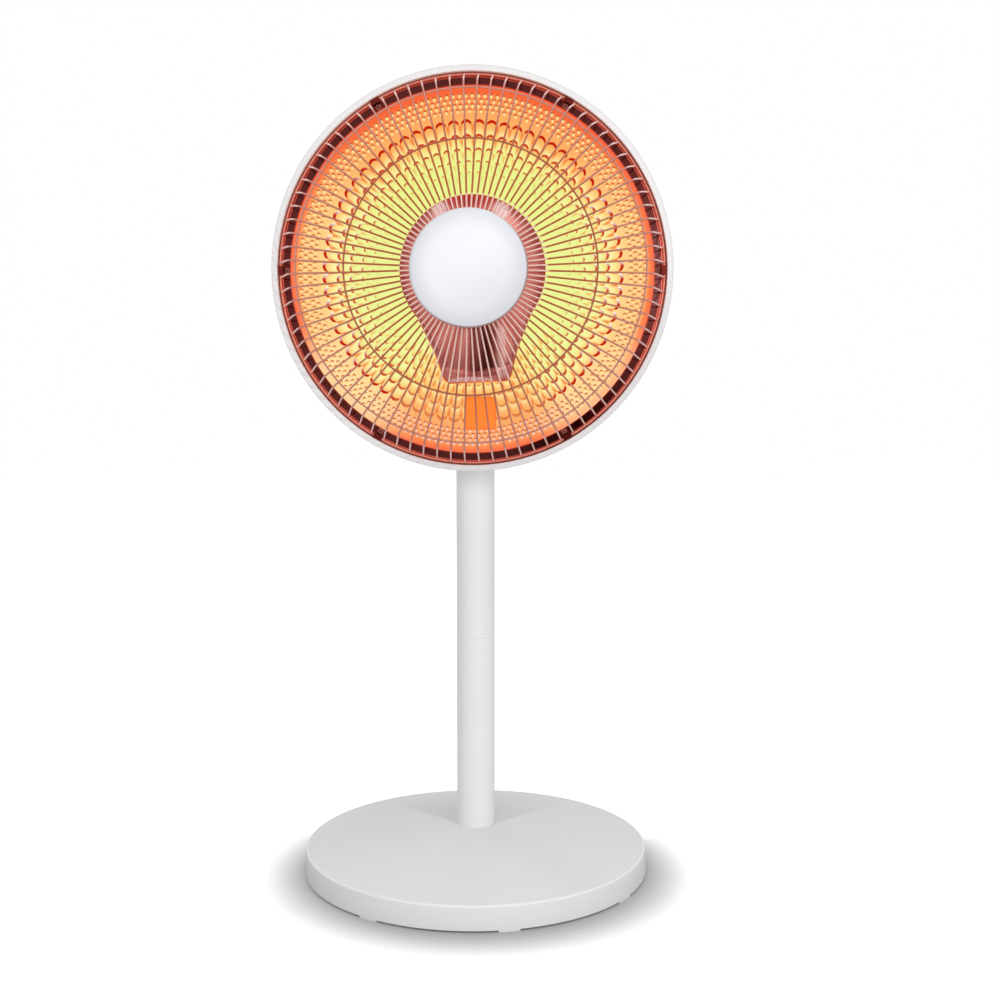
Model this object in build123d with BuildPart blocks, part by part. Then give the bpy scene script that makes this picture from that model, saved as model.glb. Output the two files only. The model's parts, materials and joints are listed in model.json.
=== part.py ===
"""Carbon dish heater on a stand: a round weighted base, a tube pole, a tilting and swinging dish head."""

import os
from math import cos, radians, sin, sqrt

from build123d import *

os.makedirs("parts", exist_ok=True)

# Base sizes, in millimetres
base_radius = 158.5
base_rim_draft_width = 1.5
base_top_radius = base_radius - base_rim_draft_width
rim_height = 22.0
dome_rise_height = 18.0
dome_height = rim_height + dome_rise_height
dome_bulge_height = 1.0
base_edge_radius = 2.5
base_wall = 2.5
tab_height = 1.6
tab_width = 18.0
tab_depth = 6.0
tab_count = 8
tab_first_angle = -78
plate_bottom = 3.0
plate_thickness = 1.2
plate_clearance = 0.5
ballast_height = 12.0
ballast_inner_radius = 56.0
base_boss_radius = 5.0
base_boss_inset_width = 14.5
base_boss_circle_radius = base_radius - base_boss_inset_width
ballast_clearance_width = 7.0
ballast_outer_radius = base_boss_circle_radius - base_boss_radius - ballast_clearance_width
base_screw_count = 6
base_rib_count = 8
base_rib_thickness = 2.0
base_rib_inset_width = 4.0
base_rib_end = ballast_outer_radius - base_rib_inset_width

# Pole sizes
pole_radius = 17.5
pole_wall = 1.2
pole_foot = 7.5
pole_joint_height = 217.0
pole_top = 408.0
sleeve_bottom = 13.0
sleeve_wall = 3.0
nut_width = 8.5
coupler_wall = 2.6
coupler_length = 56.0

# Neck and swivel sizes
collar_height = 6.0
collar_radius = 21.0
plug_length = 22.0
pivot_rise_height = 25.0
pivot_height = pole_top + pivot_rise_height
ear_radius = 13.0
ear_thickness = 5.5
lug_half_width = 9.6
lug_radius = 12.0
washer_thickness = 0.8
washer_radius = 10.0
bolt_radius = 4.0
bolt_head_radius = 7.5
bolt_head_height = 4.5
neck_disc_radius = 15.5
neck_disc_height = 5.0
neck_rise_height = 31.0
neck_disc_top = pivot_height + neck_rise_height
post_radius = 8.0
post_height = 34.0
bush_wall = 2.0
bush_flange = 4.0
socket_wall = 2.6

# Head sizes: radii from the dish axis, steps measured forward of the rim
head_radius = 170.0
head_rise_height = 79.0
head_height = neck_disc_top + head_rise_height
rim_reach = 78.0
rim_width = 4.8
rim_inner_radius = head_radius - rim_width
rim_edge_radius = 2.2
rim_depth = 20.0
shell_wall = 2.5
shell_rim_taper_width = 2.5
shell_waist_radius = head_radius - shell_rim_taper_width
shell_bulge_height = 7.1
shell_depth = 60.0
shell_window_radius = 38.0
ledge_depth = 8.0
ledge_width = 10.3
ledge_inner_radius = rim_inner_radius - ledge_width
shell_boss_radius = 4.6
shell_boss_length = 10.0
vent_count = 24
vent_width = 4.0
vent_inset_width = 16.0
vent_length = 26.0

# Reflector and trim sizes
sheet = 0.8
dish_clearance_width = 0.7
dish_radius = ledge_inner_radius - dish_clearance_width
dish_depth = 46.0
dish_floor_radius = 32.0
dish_step = 1.6
dish_row_shares = (0.972, 0.868, 0.845, 0.769, 0.709, 0.639, 0.568)
dish_facet_count = 72
trim_thickness = 1.4
trim_inner_radius = dish_radius + sheet

# Guard sizes
wire = 1.6
wire_count = 84
hoop_wire = 3.0
hoop_clearance_width = 0.6
hoop_radius = rim_inner_radius - hoop_wire / 2 - hoop_clearance_width
outer_ring_inset_width = 17.5
outer_ring_radius = hoop_radius - outer_ring_inset_width
outer_ring_forward = 30.0
middle_ring_radius = 105.0
middle_ring_forward = 36.5
wire_start_radius = 30.0
wire_start_forward = 42.0
bend_inset_width = 11.1
bend_radius = hoop_radius - bend_inset_width
bend_forward = 26.5
weld_gap = 0.05
hub_radius = 38.0
hub_hole_radius = 2.2
hub_thickness = 1.5
cap_radius = 48.4
cap_rise = 5.0
cap_skirt = 5.0
cap_wall = 1.6
cap_edge_radius = 3.0
cap_boss_radius = 5.0
clip_width = 8.0
clip_thickness = 1.0
clip_count = 6
clip_first_angle = 0
clip_screw_inset_width = 2.4
clip_screw_radius = ledge_inner_radius + clip_screw_inset_width

# Lamp and shield sizes
lamp_ring_radius = 42.0
lamp_tube_radius = 5.0
lamp_bore_radius = 3.6
lamp_tube_sides = 6
lamp_setback = 10.0
lamp_leg_offset = 14.0
lamp_leg_end = 84.0
lamp_bend_radius = 14.0
element_width = 4.0
element_thickness = 0.6
lamp_cap_length = 12.0
lamp_cap_radius = 7.0
lamp_cap_seat = 5.0
bracket_sheet = 1.2
bracket_gap = 2.0
bracket_width = 40.0
bracket_foot_rise = 8.0
bracket_foot_drop = 24.0
post_high_drop = 45.0
post_low_drop = 84.0
shield_post_radius = 3.0
shield_radius = 61.0
shield_stem_half = 28.0
shield_stem_drop = 97.3
shield_neck_half = 34.5
shield_neck_drop = 70.0
shield_neck_angle = 38
shield_corner = 6.0
shield_forward = 12.0
shield_depth = 14.0
shield_draft = 8
shield_edge_bevel = 1.0
shield_wall = 1.6

# Rear housing and control sizes
housing_radius = 70.0
housing_depth = 60.0
housing_margin_width = 6.0
housing_wall = 2.5
housing_edge_radius = 8.0
housing_boss_radius = 5.5
housing_boss_inset_width = 12.0
housing_boss_circle_radius = housing_radius - housing_boss_inset_width
housing_screw_count = 4
housing_screw_recess = 42.0
knob_radius = 15.0
knob_height = 14.0
knob_spacing = 56.0
knob_rise = 12.0
knob_gap = 0.6
knob_grip_width = 6.0
knob_grip_height = 6.0
knob_grip_inset = 2.0
knob_draft = 6
spindle_radius = 3.0
spindle_seat = 8.0
switch_size = 24.0
switch_depth = 20.0
timer_radius = 19.0
timer_depth = 26.0
motor_radius = 19.0
motor_height = 24.0
motor_offset = 15.0
motor_clearance_height = 7.0
motor_bottom = neck_disc_top + post_height + motor_clearance_height
swing_knob_radius = 6.5
swing_knob_height = 10.0
swing_stem_radius = 2.5
swing_stem_length = 7.6
swing_knob_drop = 26.0
terminal_length = 34.0
terminal_width = 12.0
terminal_height = 10.0
cutout_radius = 8.0
cutout_height = 7.0

# Small fasteners and fits
screw_radius = 1.5
screw_head_radius = 3.0
screw_head_height = 1.8
screw_clearance = 0.2
screw_bite_length = 7.0
fit = 0.15
running_fit = 0.05
gap = 0.3
overrun = 5.0

# Tip switch and cord inlet
switch_reach = 40.0
tip_case_length = 20.0
tip_case_width = 14.0
tip_case_height = 12.0
plunger_radius = 3.0
plunger_length = 13.0
plunger_collar_radius = 4.4
plunger_collar_height = 1.5
plunger_travel = 4.0
plunger_tip_radius = 1.5
inlet_height = 11.5
inlet_hole_radius = 3.75
inlet_radius = 5.5
inlet_flange_radius = 7.0
inlet_flange = 2.0
inlet_length = 14.0

# Planes and axes that the pieces share
base_section = Plane.XZ
head_centre = (0, -rim_reach, head_height)
head_front = Plane(origin=head_centre, x_dir=(1, 0, 0), z_dir=(0, -1, 0))
head_section = Plane(origin=head_centre, x_dir=(0, 0, 1), z_dir=(1, 0, 0))
head_axis = Axis(head_centre, (0, -1, 0))
plate_top = plate_bottom + plate_thickness


def save(piece, name):
    """Label a finished piece and write it."""
    piece.part.label = name
    export_step(piece.part, f"parts/{name}.step")
    return piece


def head_plane(forward):
    """A plane square to the dish axis, this far forward of the rim."""
    return head_front.offset(forward)


def on_circle(radius, angle):
    """A point on a circle, angle in degrees."""
    return (radius * cos(radians(angle)), radius * sin(radians(angle)))


def base_shell_piece():
    """The moulded base: rim wall, shallow cone, pole sleeve, screw bosses, ribs and floor tabs."""
    bore = pole_radius + fit
    sleeve_outer = bore + sleeve_wall
    inner_radius = base_radius - base_wall
    with BuildPart() as piece:
        with BuildSketch(base_section) as profile:
            with BuildLine():
                Line((bore, sleeve_bottom), (sleeve_outer, sleeve_bottom))
                Line((sleeve_outer, sleeve_bottom), (sleeve_outer, dome_height - base_wall))
                SagittaArc(
                    (sleeve_outer, dome_height - base_wall),
                    (base_top_radius - base_wall, rim_height - base_wall),
                    dome_bulge_height,
                )
                Line((base_top_radius - base_wall, rim_height - base_wall), (inner_radius, tab_height))
                Line((inner_radius, tab_height), (base_radius, tab_height))
                Line((base_radius, tab_height), (base_top_radius, rim_height))
                SagittaArc((base_top_radius, rim_height), (bore, dome_height), -dome_bulge_height)
                Line((bore, dome_height), (bore, sleeve_bottom))
            make_face()
            edge = profile.vertices().sort_by_distance((base_top_radius, 0, rim_height))[0]
            fillet(edge, radius=base_edge_radius)
        revolve(axis=Axis.Z)
        with BuildSketch(Plane.XY):
            with PolarLocations(base_radius - tab_depth / 2, tab_count, start_angle=tab_first_angle):
                Rectangle(tab_depth, tab_width)
            Circle(base_radius, mode=Mode.INTERSECT)
        extrude(amount=tab_height)
        with BuildSketch(Plane.XY.offset(plate_top)):
            with PolarLocations(base_boss_circle_radius, base_screw_count, start_angle=tab_first_angle):
                Circle(base_boss_radius)
        extrude(amount=rim_height - plate_top)
        with BuildSketch(base_section):
            with BuildLine():
                Polyline(
                    (sleeve_outer - sleeve_wall / 2, plate_top + ballast_height + gap),
                    (base_rib_end, plate_top + ballast_height + gap),
                    (base_rib_end, rim_height),
                    (sleeve_outer - sleeve_wall / 2, dome_height - base_wall / 2),
                    close=True,
                )
            make_face()
        rib = extrude(amount=base_rib_thickness / 2, both=True, mode=Mode.PRIVATE)
        with PolarLocations(0, base_rib_count, start_angle=tab_first_angle):
            add(rib)
        with BuildSketch(Plane.XY.offset(plate_top)):
            with PolarLocations(base_boss_circle_radius, base_screw_count, start_angle=tab_first_angle):
                Circle(screw_radius + screw_clearance)
        extrude(amount=screw_bite_length + gap, mode=Mode.SUBTRACT)
        with BuildSketch(Plane.XZ.offset(-base_radius - overrun)):
            with Locations((0, inlet_height)):
                Circle(inlet_radius + fit)
        extrude(amount=base_wall + tab_depth + overrun, mode=Mode.SUBTRACT)
    return save(piece, "base_shell")


def base_weight_piece():
    """The iron ballast ring, which lies on the bottom plate."""
    with BuildPart() as piece:
        with BuildSketch(Plane.XY.offset(plate_top)):
            Circle(ballast_outer_radius)
            Circle(ballast_inner_radius, mode=Mode.SUBTRACT)
        extrude(amount=ballast_height)
    return save(piece, "base_weight")


def bottom_plate_piece():
    """The sheet steel plate that closes the base from below."""
    with BuildPart() as piece:
        with BuildSketch(Plane.XY.offset(plate_bottom)):
            Circle(base_radius - base_wall - plate_clearance)
            with PolarLocations(base_boss_circle_radius, base_screw_count, start_angle=tab_first_angle):
                Circle(screw_radius + screw_clearance, mode=Mode.SUBTRACT)
            with Locations((0, switch_reach)):
                Circle(plunger_radius + gap, mode=Mode.SUBTRACT)
        extrude(amount=plate_thickness)
    return save(piece, "bottom_plate")


def base_screws_piece():
    """The screws that hold the bottom plate to the bosses."""
    with BuildPart() as piece:
        for height, radius, length in (
            (plate_bottom - screw_head_height, screw_head_radius, screw_head_height),
            (plate_bottom, screw_radius, plate_thickness + screw_bite_length),
        ):
            with BuildSketch(Plane.XY.offset(height)):
                with PolarLocations(base_boss_circle_radius, base_screw_count, start_angle=tab_first_angle):
                    Circle(radius)
            extrude(amount=length)
    return save(piece, "base_screws")


def pole_pieces():
    """The nut, the two tubes and the coupler that joins them."""
    with BuildPart() as nut:
        with BuildSketch(Plane.XY.offset(pole_foot)):
            RegularPolygon(pole_radius + nut_width, 6)
            Circle(pole_radius + fit, mode=Mode.SUBTRACT)
        extrude(amount=sleeve_bottom - pole_foot)
    save(nut, "pole_nut")
    for name, low, high in (
        ("lower_tube", pole_foot, pole_joint_height),
        ("upper_tube", pole_joint_height, pole_top),
    ):
        with BuildPart() as tube:
            with BuildSketch(Plane.XY.offset(low)):
                Circle(pole_radius)
                Circle(pole_radius - pole_wall, mode=Mode.SUBTRACT)
            extrude(amount=high - low)
        save(tube, name)
    with BuildPart() as coupler:
        with BuildSketch(Plane.XY.offset(pole_joint_height - coupler_length / 2)):
            Circle(pole_radius - pole_wall - fit)
            Circle(pole_radius - pole_wall - fit - coupler_wall, mode=Mode.SUBTRACT)
        extrude(amount=coupler_length)
    save(coupler, "tube_coupler")


def pole_head_piece():
    """The fork on the pole: a plug in the tube, a collar and two ears."""
    ear_inner = lug_half_width + washer_thickness
    with BuildPart() as piece:
        with BuildSketch(Plane.XY.offset(pole_top - plug_length)):
            Circle(pole_radius - pole_wall - fit)
        extrude(amount=plug_length)
        with BuildSketch(Plane.XY.offset(pole_top)):
            Circle(collar_radius)
        extrude(amount=collar_height)
        for side in (-1, 1):
            with BuildSketch(Plane.YZ.offset(side * (ear_inner + ear_thickness / 2))):
                with Locations((0, pivot_height)):
                    Circle(ear_radius)
                with Locations((0, (pole_top + pivot_height) / 2)):
                    Rectangle(2 * ear_radius, pivot_height - pole_top)
            extrude(amount=ear_thickness / 2, both=True)
        with BuildSketch(Plane.YZ.offset(-pole_radius - overrun)):
            with Locations((0, pivot_height)):
                Circle(bolt_radius + fit)
        extrude(amount=2 * (pole_radius + overrun), mode=Mode.SUBTRACT)
    return save(piece, "pole_head")


def tilt_bolt_pieces():
    """The pivot bolt, its nut and the two friction washers."""
    face = lug_half_width + washer_thickness + ear_thickness
    with BuildPart() as bolt:
        with BuildSketch(Plane.YZ.offset(-face)):
            with Locations((0, pivot_height)):
                Circle(bolt_radius)
        extrude(amount=2 * face + bolt_head_height)
        with BuildSketch(Plane.YZ.offset(-face)):
            with Locations((0, pivot_height)):
                Circle(bolt_head_radius)
        extrude(amount=-bolt_head_height)
    save(bolt, "tilt_bolt")
    with BuildPart() as nut:
        with BuildSketch(Plane.YZ.offset(face)):
            with Locations((0, pivot_height)):
                RegularPolygon(bolt_head_radius, 6)
                Circle(bolt_radius + running_fit, mode=Mode.SUBTRACT)
        extrude(amount=bolt_head_height)
    save(nut, "tilt_nut")
    with BuildPart() as washers:
        for start in (-lug_half_width - washer_thickness, lug_half_width):
            with BuildSketch(Plane.YZ.offset(start)):
                with Locations((0, pivot_height)):
                    Circle(washer_radius)
                    Circle(bolt_radius + fit, mode=Mode.SUBTRACT)
            extrude(amount=washer_thickness)
    save(washers, "tilt_washers")


def neck_piece():
    """The tilting neck: a lug between the ears, a disc and the swivel post."""
    with BuildPart() as piece:
        with BuildSketch(Plane.YZ):
            with Locations((0, pivot_height)):
                Circle(lug_radius)
            with Locations((0, (pivot_height + neck_disc_top - neck_disc_height) / 2)):
                Rectangle(2 * lug_radius, neck_disc_top - neck_disc_height - pivot_height)
        extrude(amount=lug_half_width, both=True)
        with BuildSketch(Plane.XY.offset(neck_disc_top - neck_disc_height)):
            Circle(neck_disc_radius)
        extrude(amount=neck_disc_height)
        with BuildSketch(Plane.XY.offset(neck_disc_top)):
            Circle(post_radius)
        extrude(amount=post_height)
        with BuildSketch(Plane.YZ.offset(-lug_half_width - overrun)):
            with Locations((0, pivot_height)):
                Circle(bolt_radius + running_fit)
        extrude(amount=2 * (lug_half_width + overrun), mode=Mode.SUBTRACT)
        with BuildSketch(Plane.XY.offset(neck_disc_top + post_height)):
            Circle(screw_radius + fit)
        extrude(amount=-(screw_bite_length + gap), mode=Mode.SUBTRACT)
    return save(piece, "neck")


def swivel_pieces():
    """The bush in the housing socket and the screw that keeps the head on its post."""
    socket_bore = post_radius + running_fit + bush_wall
    top = neck_disc_top + post_height
    with BuildPart() as bush:
        with BuildSketch(Plane.XY.offset(neck_disc_top + gap)):
            Circle(socket_bore + bush_flange - running_fit)
            Circle(post_radius + running_fit, mode=Mode.SUBTRACT)
        extrude(amount=washer_thickness)
        with BuildSketch(Plane.XY.offset(neck_disc_top + gap + washer_thickness)):
            Circle(socket_bore - running_fit)
            Circle(post_radius + running_fit, mode=Mode.SUBTRACT)
        extrude(amount=post_height - 2 * gap - washer_thickness)
    save(bush, "swivel_bush")
    with BuildPart() as screw:
        with BuildSketch(Plane.XY.offset(top)):
            Circle(socket_bore)
        extrude(amount=screw_head_height)
        with BuildSketch(Plane.XY.offset(top - screw_bite_length)):
            Circle(screw_radius)
        extrude(amount=screw_bite_length)
    save(screw, "swivel_screw")


def rear_shell_piece():
    """The deep white shell: rolled rim, inner ledge, bowl, flat back, screw bosses and vents."""
    lip_back = -ledge_depth - shell_wall
    shell_flat_radius = housing_radius + housing_margin_width
    vent_middle_radius = shell_flat_radius + vent_inset_width + vent_length / 2
    with BuildPart() as piece:
        with BuildSketch(head_section) as profile:
            with BuildLine():
                Line((rim_inner_radius, 0), (head_radius, 0))
                Line((head_radius, 0), (shell_waist_radius, -rim_depth))
                SagittaArc(
                    (shell_waist_radius, -rim_depth),
                    (shell_flat_radius, -shell_depth),
                    shell_bulge_height,
                )
                Line((shell_flat_radius, -shell_depth), (shell_window_radius, -shell_depth))
                Line((shell_window_radius, -shell_depth), (shell_window_radius, shell_wall - shell_depth))
                Line(
                    (shell_window_radius, shell_wall - shell_depth),
                    (shell_flat_radius, shell_wall - shell_depth),
                )
                SagittaArc(
                    (shell_flat_radius, shell_wall - shell_depth),
                    (shell_waist_radius - shell_wall, -rim_depth),
                    -shell_bulge_height,
                )
                Line((shell_waist_radius - shell_wall, -rim_depth), (rim_inner_radius, lip_back))
                Line((rim_inner_radius, lip_back), (ledge_inner_radius, lip_back))
                Line((ledge_inner_radius, lip_back), (ledge_inner_radius, -ledge_depth))
                Line((ledge_inner_radius, -ledge_depth), (rim_inner_radius, -ledge_depth))
                Line((rim_inner_radius, -ledge_depth), (rim_inner_radius, 0))
            make_face()
            rim_corners = profile.vertices().sort_by(Axis.Y)[:2]
            fillet(rim_corners, radius=rim_edge_radius)
        revolve(axis=head_axis)
        with BuildSketch(head_plane(lip_back + shell_wall / 2)):
            with PolarLocations(clip_screw_radius, clip_count, start_angle=clip_first_angle):
                Circle(shell_boss_radius)
        extrude(amount=-shell_boss_length)
        with BuildSketch(head_plane(overrun - ledge_depth)):
            with PolarLocations(clip_screw_radius, clip_count, start_angle=clip_first_angle):
                Circle(screw_radius + screw_clearance)
        extrude(amount=-(overrun + screw_bite_length + gap), mode=Mode.SUBTRACT)
        with BuildSketch(head_plane(-shell_depth - overrun)):
            with PolarLocations(vent_middle_radius, vent_count):
                SlotOverall(vent_length, vent_width)
        extrude(amount=shell_depth - rim_depth, mode=Mode.SUBTRACT)
        with BuildSketch(head_plane(-shell_depth - overrun)):
            with PolarLocations(housing_boss_circle_radius, housing_screw_count, start_angle=45):
                Circle(screw_radius + screw_clearance)
        extrude(amount=shell_wall + 2 * overrun, mode=Mode.SUBTRACT)
    return save(piece, "rear_shell")


def rear_housing_piece():
    """The round rear housing: wall, back, screw posts, knob holes and the swivel socket."""
    seat = -shell_depth
    back = seat - housing_depth
    socket_bore = post_radius + running_fit + bush_wall
    socket_bottom = neck_disc_top + gap + washer_thickness
    socket_top = neck_disc_top + post_height - gap
    with BuildPart() as piece:
        with BuildSketch(head_plane(back)):
            Circle(housing_radius)
        extrude(amount=housing_depth)
        fillet(piece.edges().filter_by(GeomType.CIRCLE).sort_by(Axis.Y)[-1], radius=housing_edge_radius)
        with BuildSketch(head_plane(back + housing_wall)):
            Circle(housing_radius - housing_wall)
        extrude(amount=housing_depth, mode=Mode.SUBTRACT)
        with BuildSketch(Plane.XY.offset(socket_bottom)):
            Circle(socket_bore + socket_wall)
        extrude(amount=socket_top - socket_bottom)
        with BuildSketch(Plane.XY.offset(socket_bottom - overrun)):
            Circle(socket_bore)
        extrude(amount=socket_top - socket_bottom + 2 * overrun, mode=Mode.SUBTRACT)
        with BuildSketch(head_plane(back + housing_wall / 2)):
            with PolarLocations(housing_boss_circle_radius, housing_screw_count, start_angle=45):
                Circle(housing_boss_radius)
        extrude(amount=housing_depth - housing_wall / 2)
        with BuildSketch(head_plane(back - overrun)):
            with PolarLocations(housing_boss_circle_radius, housing_screw_count, start_angle=45):
                Circle(screw_head_radius + screw_clearance)
        extrude(amount=overrun + housing_screw_recess, mode=Mode.SUBTRACT)
        with BuildSketch(head_plane(back - overrun)):
            with PolarLocations(housing_boss_circle_radius, housing_screw_count, start_angle=45):
                Circle(screw_radius + screw_clearance)
            with Locations((-knob_spacing / 2, knob_rise), (knob_spacing / 2, knob_rise)):
                Circle(spindle_radius + gap)
        extrude(amount=housing_depth + 2 * overrun, mode=Mode.SUBTRACT)
        with BuildSketch(head_plane(back - overrun)):
            with Locations((0, -swing_knob_drop)):
                Circle(swing_stem_radius + gap)
        extrude(amount=housing_wall + 2 * overrun, mode=Mode.SUBTRACT)
    return save(piece, "rear_housing")


def housing_screws_piece():
    """The long screws that hold the rear housing to the shell."""
    back = -shell_depth - housing_depth
    seat = back + housing_screw_recess
    with BuildPart() as piece:
        for forward, radius, length in (
            (seat - screw_head_height, screw_head_radius, screw_head_height),
            (seat, screw_radius, housing_depth - housing_screw_recess + shell_wall),
        ):
            with BuildSketch(head_plane(forward)):
                with PolarLocations(housing_boss_circle_radius, housing_screw_count, start_angle=45):
                    Circle(radius)
            extrude(amount=length)
    return save(piece, "housing_screws")


def dish_forward(radius):
    """How far forward of the rim the dish surface lies at this radius."""
    return -ledge_depth - dish_depth * (1 - (radius / dish_radius) ** 2)


def dish_volume(points):
    """A volume through these radius and forward points, flat on each facet of the dish."""
    with BuildPart() as volume:
        for radius, forward in points:
            with BuildSketch(head_plane(forward)):
                RegularPolygon(radius, dish_facet_count)
        loft(ruled=True)
    return volume.part


def reflector_piece():
    """The pressed dish: a flange, then stepped rows of flat facets down to a flat floor."""
    front = [(dish_radius, -ledge_depth + sheet)]
    for share in dish_row_shares:
        row = share * dish_radius
        front.append((row, dish_forward(row) + dish_step / 2))
        front.append((row - dish_step, dish_forward(row) - dish_step / 2))
    front.append((dish_floor_radius, dish_forward(dish_floor_radius)))
    back = [(radius + sheet / 2, forward - sheet) for radius, forward in front]
    mouth = [(dish_radius, -ledge_depth + sheet + overrun)]
    with BuildPart() as piece:
        add(dish_volume(back))
        with BuildSketch(head_plane(-ledge_depth)):
            Circle(rim_inner_radius - gap)
        extrude(amount=sheet)
        add(dish_volume(mouth + front), mode=Mode.SUBTRACT)
        with BuildSketch(head_plane(-ledge_depth - overrun)):
            with PolarLocations(clip_screw_radius, clip_count, start_angle=clip_first_angle):
                Circle(screw_radius + screw_clearance)
        extrude(amount=2 * overrun, mode=Mode.SUBTRACT)
    return save(piece, "reflector")


def trim_ring_piece():
    """The polished ring that covers the dish flange."""
    with BuildPart() as piece:
        with BuildSketch(head_plane(sheet - ledge_depth)):
            Circle(rim_inner_radius - gap)
            Circle(trim_inner_radius, mode=Mode.SUBTRACT)
            with PolarLocations(clip_screw_radius, clip_count, start_angle=clip_first_angle):
                Circle(screw_radius + screw_clearance, mode=Mode.SUBTRACT)
        extrude(amount=trim_thickness)
    return save(piece, "trim_ring")


hoop_back = sheet - ledge_depth + trim_thickness
hoop_front = hoop_back + hoop_wire
hub_front = wire_start_forward - wire / 2 + hub_thickness / 2


def guard_line(radius_shift, forward_shift):
    """The path of one guard wire, hub to hoop, as radius and forward points."""
    return [
        (wire_start_radius, wire_start_forward + forward_shift),
        (middle_ring_radius, middle_ring_forward + forward_shift),
        (outer_ring_radius, outer_ring_forward + forward_shift),
        (bend_radius + radius_shift / 2, bend_forward + forward_shift / 2),
        (hoop_radius + radius_shift, hoop_front),
    ]


def wire_guard_piece():
    """The welded guard: a hub disc and the wires that run from it over the dish to the hoop."""
    outer = guard_line(wire / 2, wire / 2)
    inner = guard_line(-wire / 2, -wire / 2)
    with BuildPart() as one_wire:
        with BuildSketch(head_section):
            with BuildLine():
                Polyline(*outer, *reversed(inner), close=True)
            make_face()
        extrude(amount=wire / 2, both=True)
    pitch = 360 / wire_count
    wires = [one_wire.part.rotate(head_axis, pitch * (index + 1 / 2)) for index in range(wire_count)]
    with BuildPart() as piece:
        with BuildSketch(head_plane(wire_start_forward - wire / 2 - hub_thickness / 2)):
            Circle(hub_radius)
            Circle(hub_hole_radius, mode=Mode.SUBTRACT)
        extrude(amount=hub_thickness)
        add(wires)
    return save(piece, "wire_guard")


def guard_ring_pieces():
    """The two rings welded behind the wires and the hoop that carries their ends."""
    for name, radius, forward, section in (
        ("middle_guard_ring", middle_ring_radius - wire / 2, middle_ring_forward - wire - weld_gap, wire),
        ("outer_guard_ring", outer_ring_radius - wire / 2, outer_ring_forward - wire - weld_gap, wire),
        ("guard_hoop", hoop_radius, hoop_back + hoop_wire / 2, hoop_wire),
    ):
        with BuildPart() as ring:
            with BuildSketch(head_section):
                with Locations((radius, forward)):
                    Rectangle(section, section)
            revolve(axis=head_axis)
        save(ring, name)


def arc_drop(radius, rise):
    """How far a shallow dome of this radius and rise has dropped at half its radius."""
    sphere = (radius**2 + rise**2) / (2 * rise)
    return sphere - sqrt(sphere**2 - (radius / 2) ** 2)


def guard_cap_pieces():
    """The domed cap over the guard's hub, with the boss that its screw bites in."""
    front = wire_start_forward + wire / 2 + cap_skirt
    inner_radius = cap_radius - cap_wall
    slope = (wire_start_forward - middle_ring_forward) / (middle_ring_radius - wire_start_radius)
    skirt_end = wire_start_forward + wire / 2 + fit - slope * (inner_radius - wire_start_radius)
    with BuildPart() as piece:
        with BuildSketch(head_section) as profile:
            with BuildLine():
                ThreePointArc(
                    (0, front + cap_rise),
                    (cap_radius / 2, front + cap_rise - arc_drop(cap_radius, cap_rise)),
                    (cap_radius, front),
                )
                Line((cap_radius, front), (cap_radius, skirt_end))
                Line((cap_radius, skirt_end), (inner_radius, skirt_end))
                Line((inner_radius, skirt_end), (inner_radius, front - cap_wall))
                ThreePointArc(
                    (inner_radius, front - cap_wall),
                    (inner_radius / 2, front - cap_wall + cap_rise - arc_drop(inner_radius, cap_rise)),
                    (0, front - cap_wall + cap_rise),
                )
                Line((0, front - cap_wall + cap_rise), (0, front + cap_rise))
            make_face()
            fillet(profile.vertices().sort_by_distance((cap_radius, front))[0], radius=cap_edge_radius)
        revolve(axis=head_axis)
        with BuildSketch(head_plane(hub_front + fit)):
            Circle(cap_boss_radius)
            Circle(screw_radius, mode=Mode.SUBTRACT)
        extrude(amount=front + cap_rise - cap_wall / 2 - hub_front - fit)
    save(piece, "guard_cap")
    hub_back = hub_front - hub_thickness
    with BuildPart() as screw:
        with BuildSketch(head_plane(hub_back)):
            Circle(screw_head_radius)
        extrude(amount=-screw_head_height)
        with BuildSketch(head_plane(hub_back)):
            Circle(screw_radius - running_fit)
        extrude(amount=hub_thickness + fit + screw_bite_length)
    save(screw, "cap_screw")


def guard_clip_pieces():
    """The clips that hold the hoop on the flange, and their screws."""
    top = hoop_front + clip_thickness
    screw_end = -ledge_depth - screw_bite_length
    with BuildPart() as one_clip:
        with BuildSketch(head_section):
            with BuildLine():
                Polyline(
                    (trim_inner_radius + gap, hoop_back),
                    (hoop_radius - hoop_wire / 2 - gap, hoop_back),
                    (hoop_radius - hoop_wire / 2 - gap, hoop_front + gap / 2),
                    (hoop_radius + hoop_wire / 2, hoop_front + gap / 2),
                    (hoop_radius + hoop_wire / 2, top),
                    (hoop_radius - hoop_wire / 2 - gap - clip_thickness, top),
                    (hoop_radius - hoop_wire / 2 - gap - clip_thickness, hoop_back + clip_thickness),
                    (trim_inner_radius + gap, hoop_back + clip_thickness),
                    close=True,
                )
            make_face()
        extrude(amount=clip_width / 2, both=True)
    pitch = 360 / clip_count
    clips = [one_clip.part.rotate(head_axis, pitch * (index + 1 / 2)) for index in range(clip_count)]
    with BuildPart() as clip_set:
        add(clips)
        with BuildSketch(head_plane(hoop_back - overrun)):
            with PolarLocations(clip_screw_radius, clip_count, start_angle=clip_first_angle):
                Circle(screw_radius + screw_clearance)
        extrude(amount=2 * overrun, mode=Mode.SUBTRACT)
    save(clip_set, "guard_clips")
    with BuildPart() as screws:
        for forward, radius, length in (
            (hoop_back + clip_thickness, screw_head_radius - screw_clearance, screw_head_height),
            (screw_end, screw_radius, hoop_back + clip_thickness - screw_end),
        ):
            with BuildSketch(head_plane(forward)):
                with PolarLocations(clip_screw_radius, clip_count, start_angle=clip_first_angle):
                    Circle(radius)
            extrude(amount=length)
    save(screws, "guard_screws")


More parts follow.
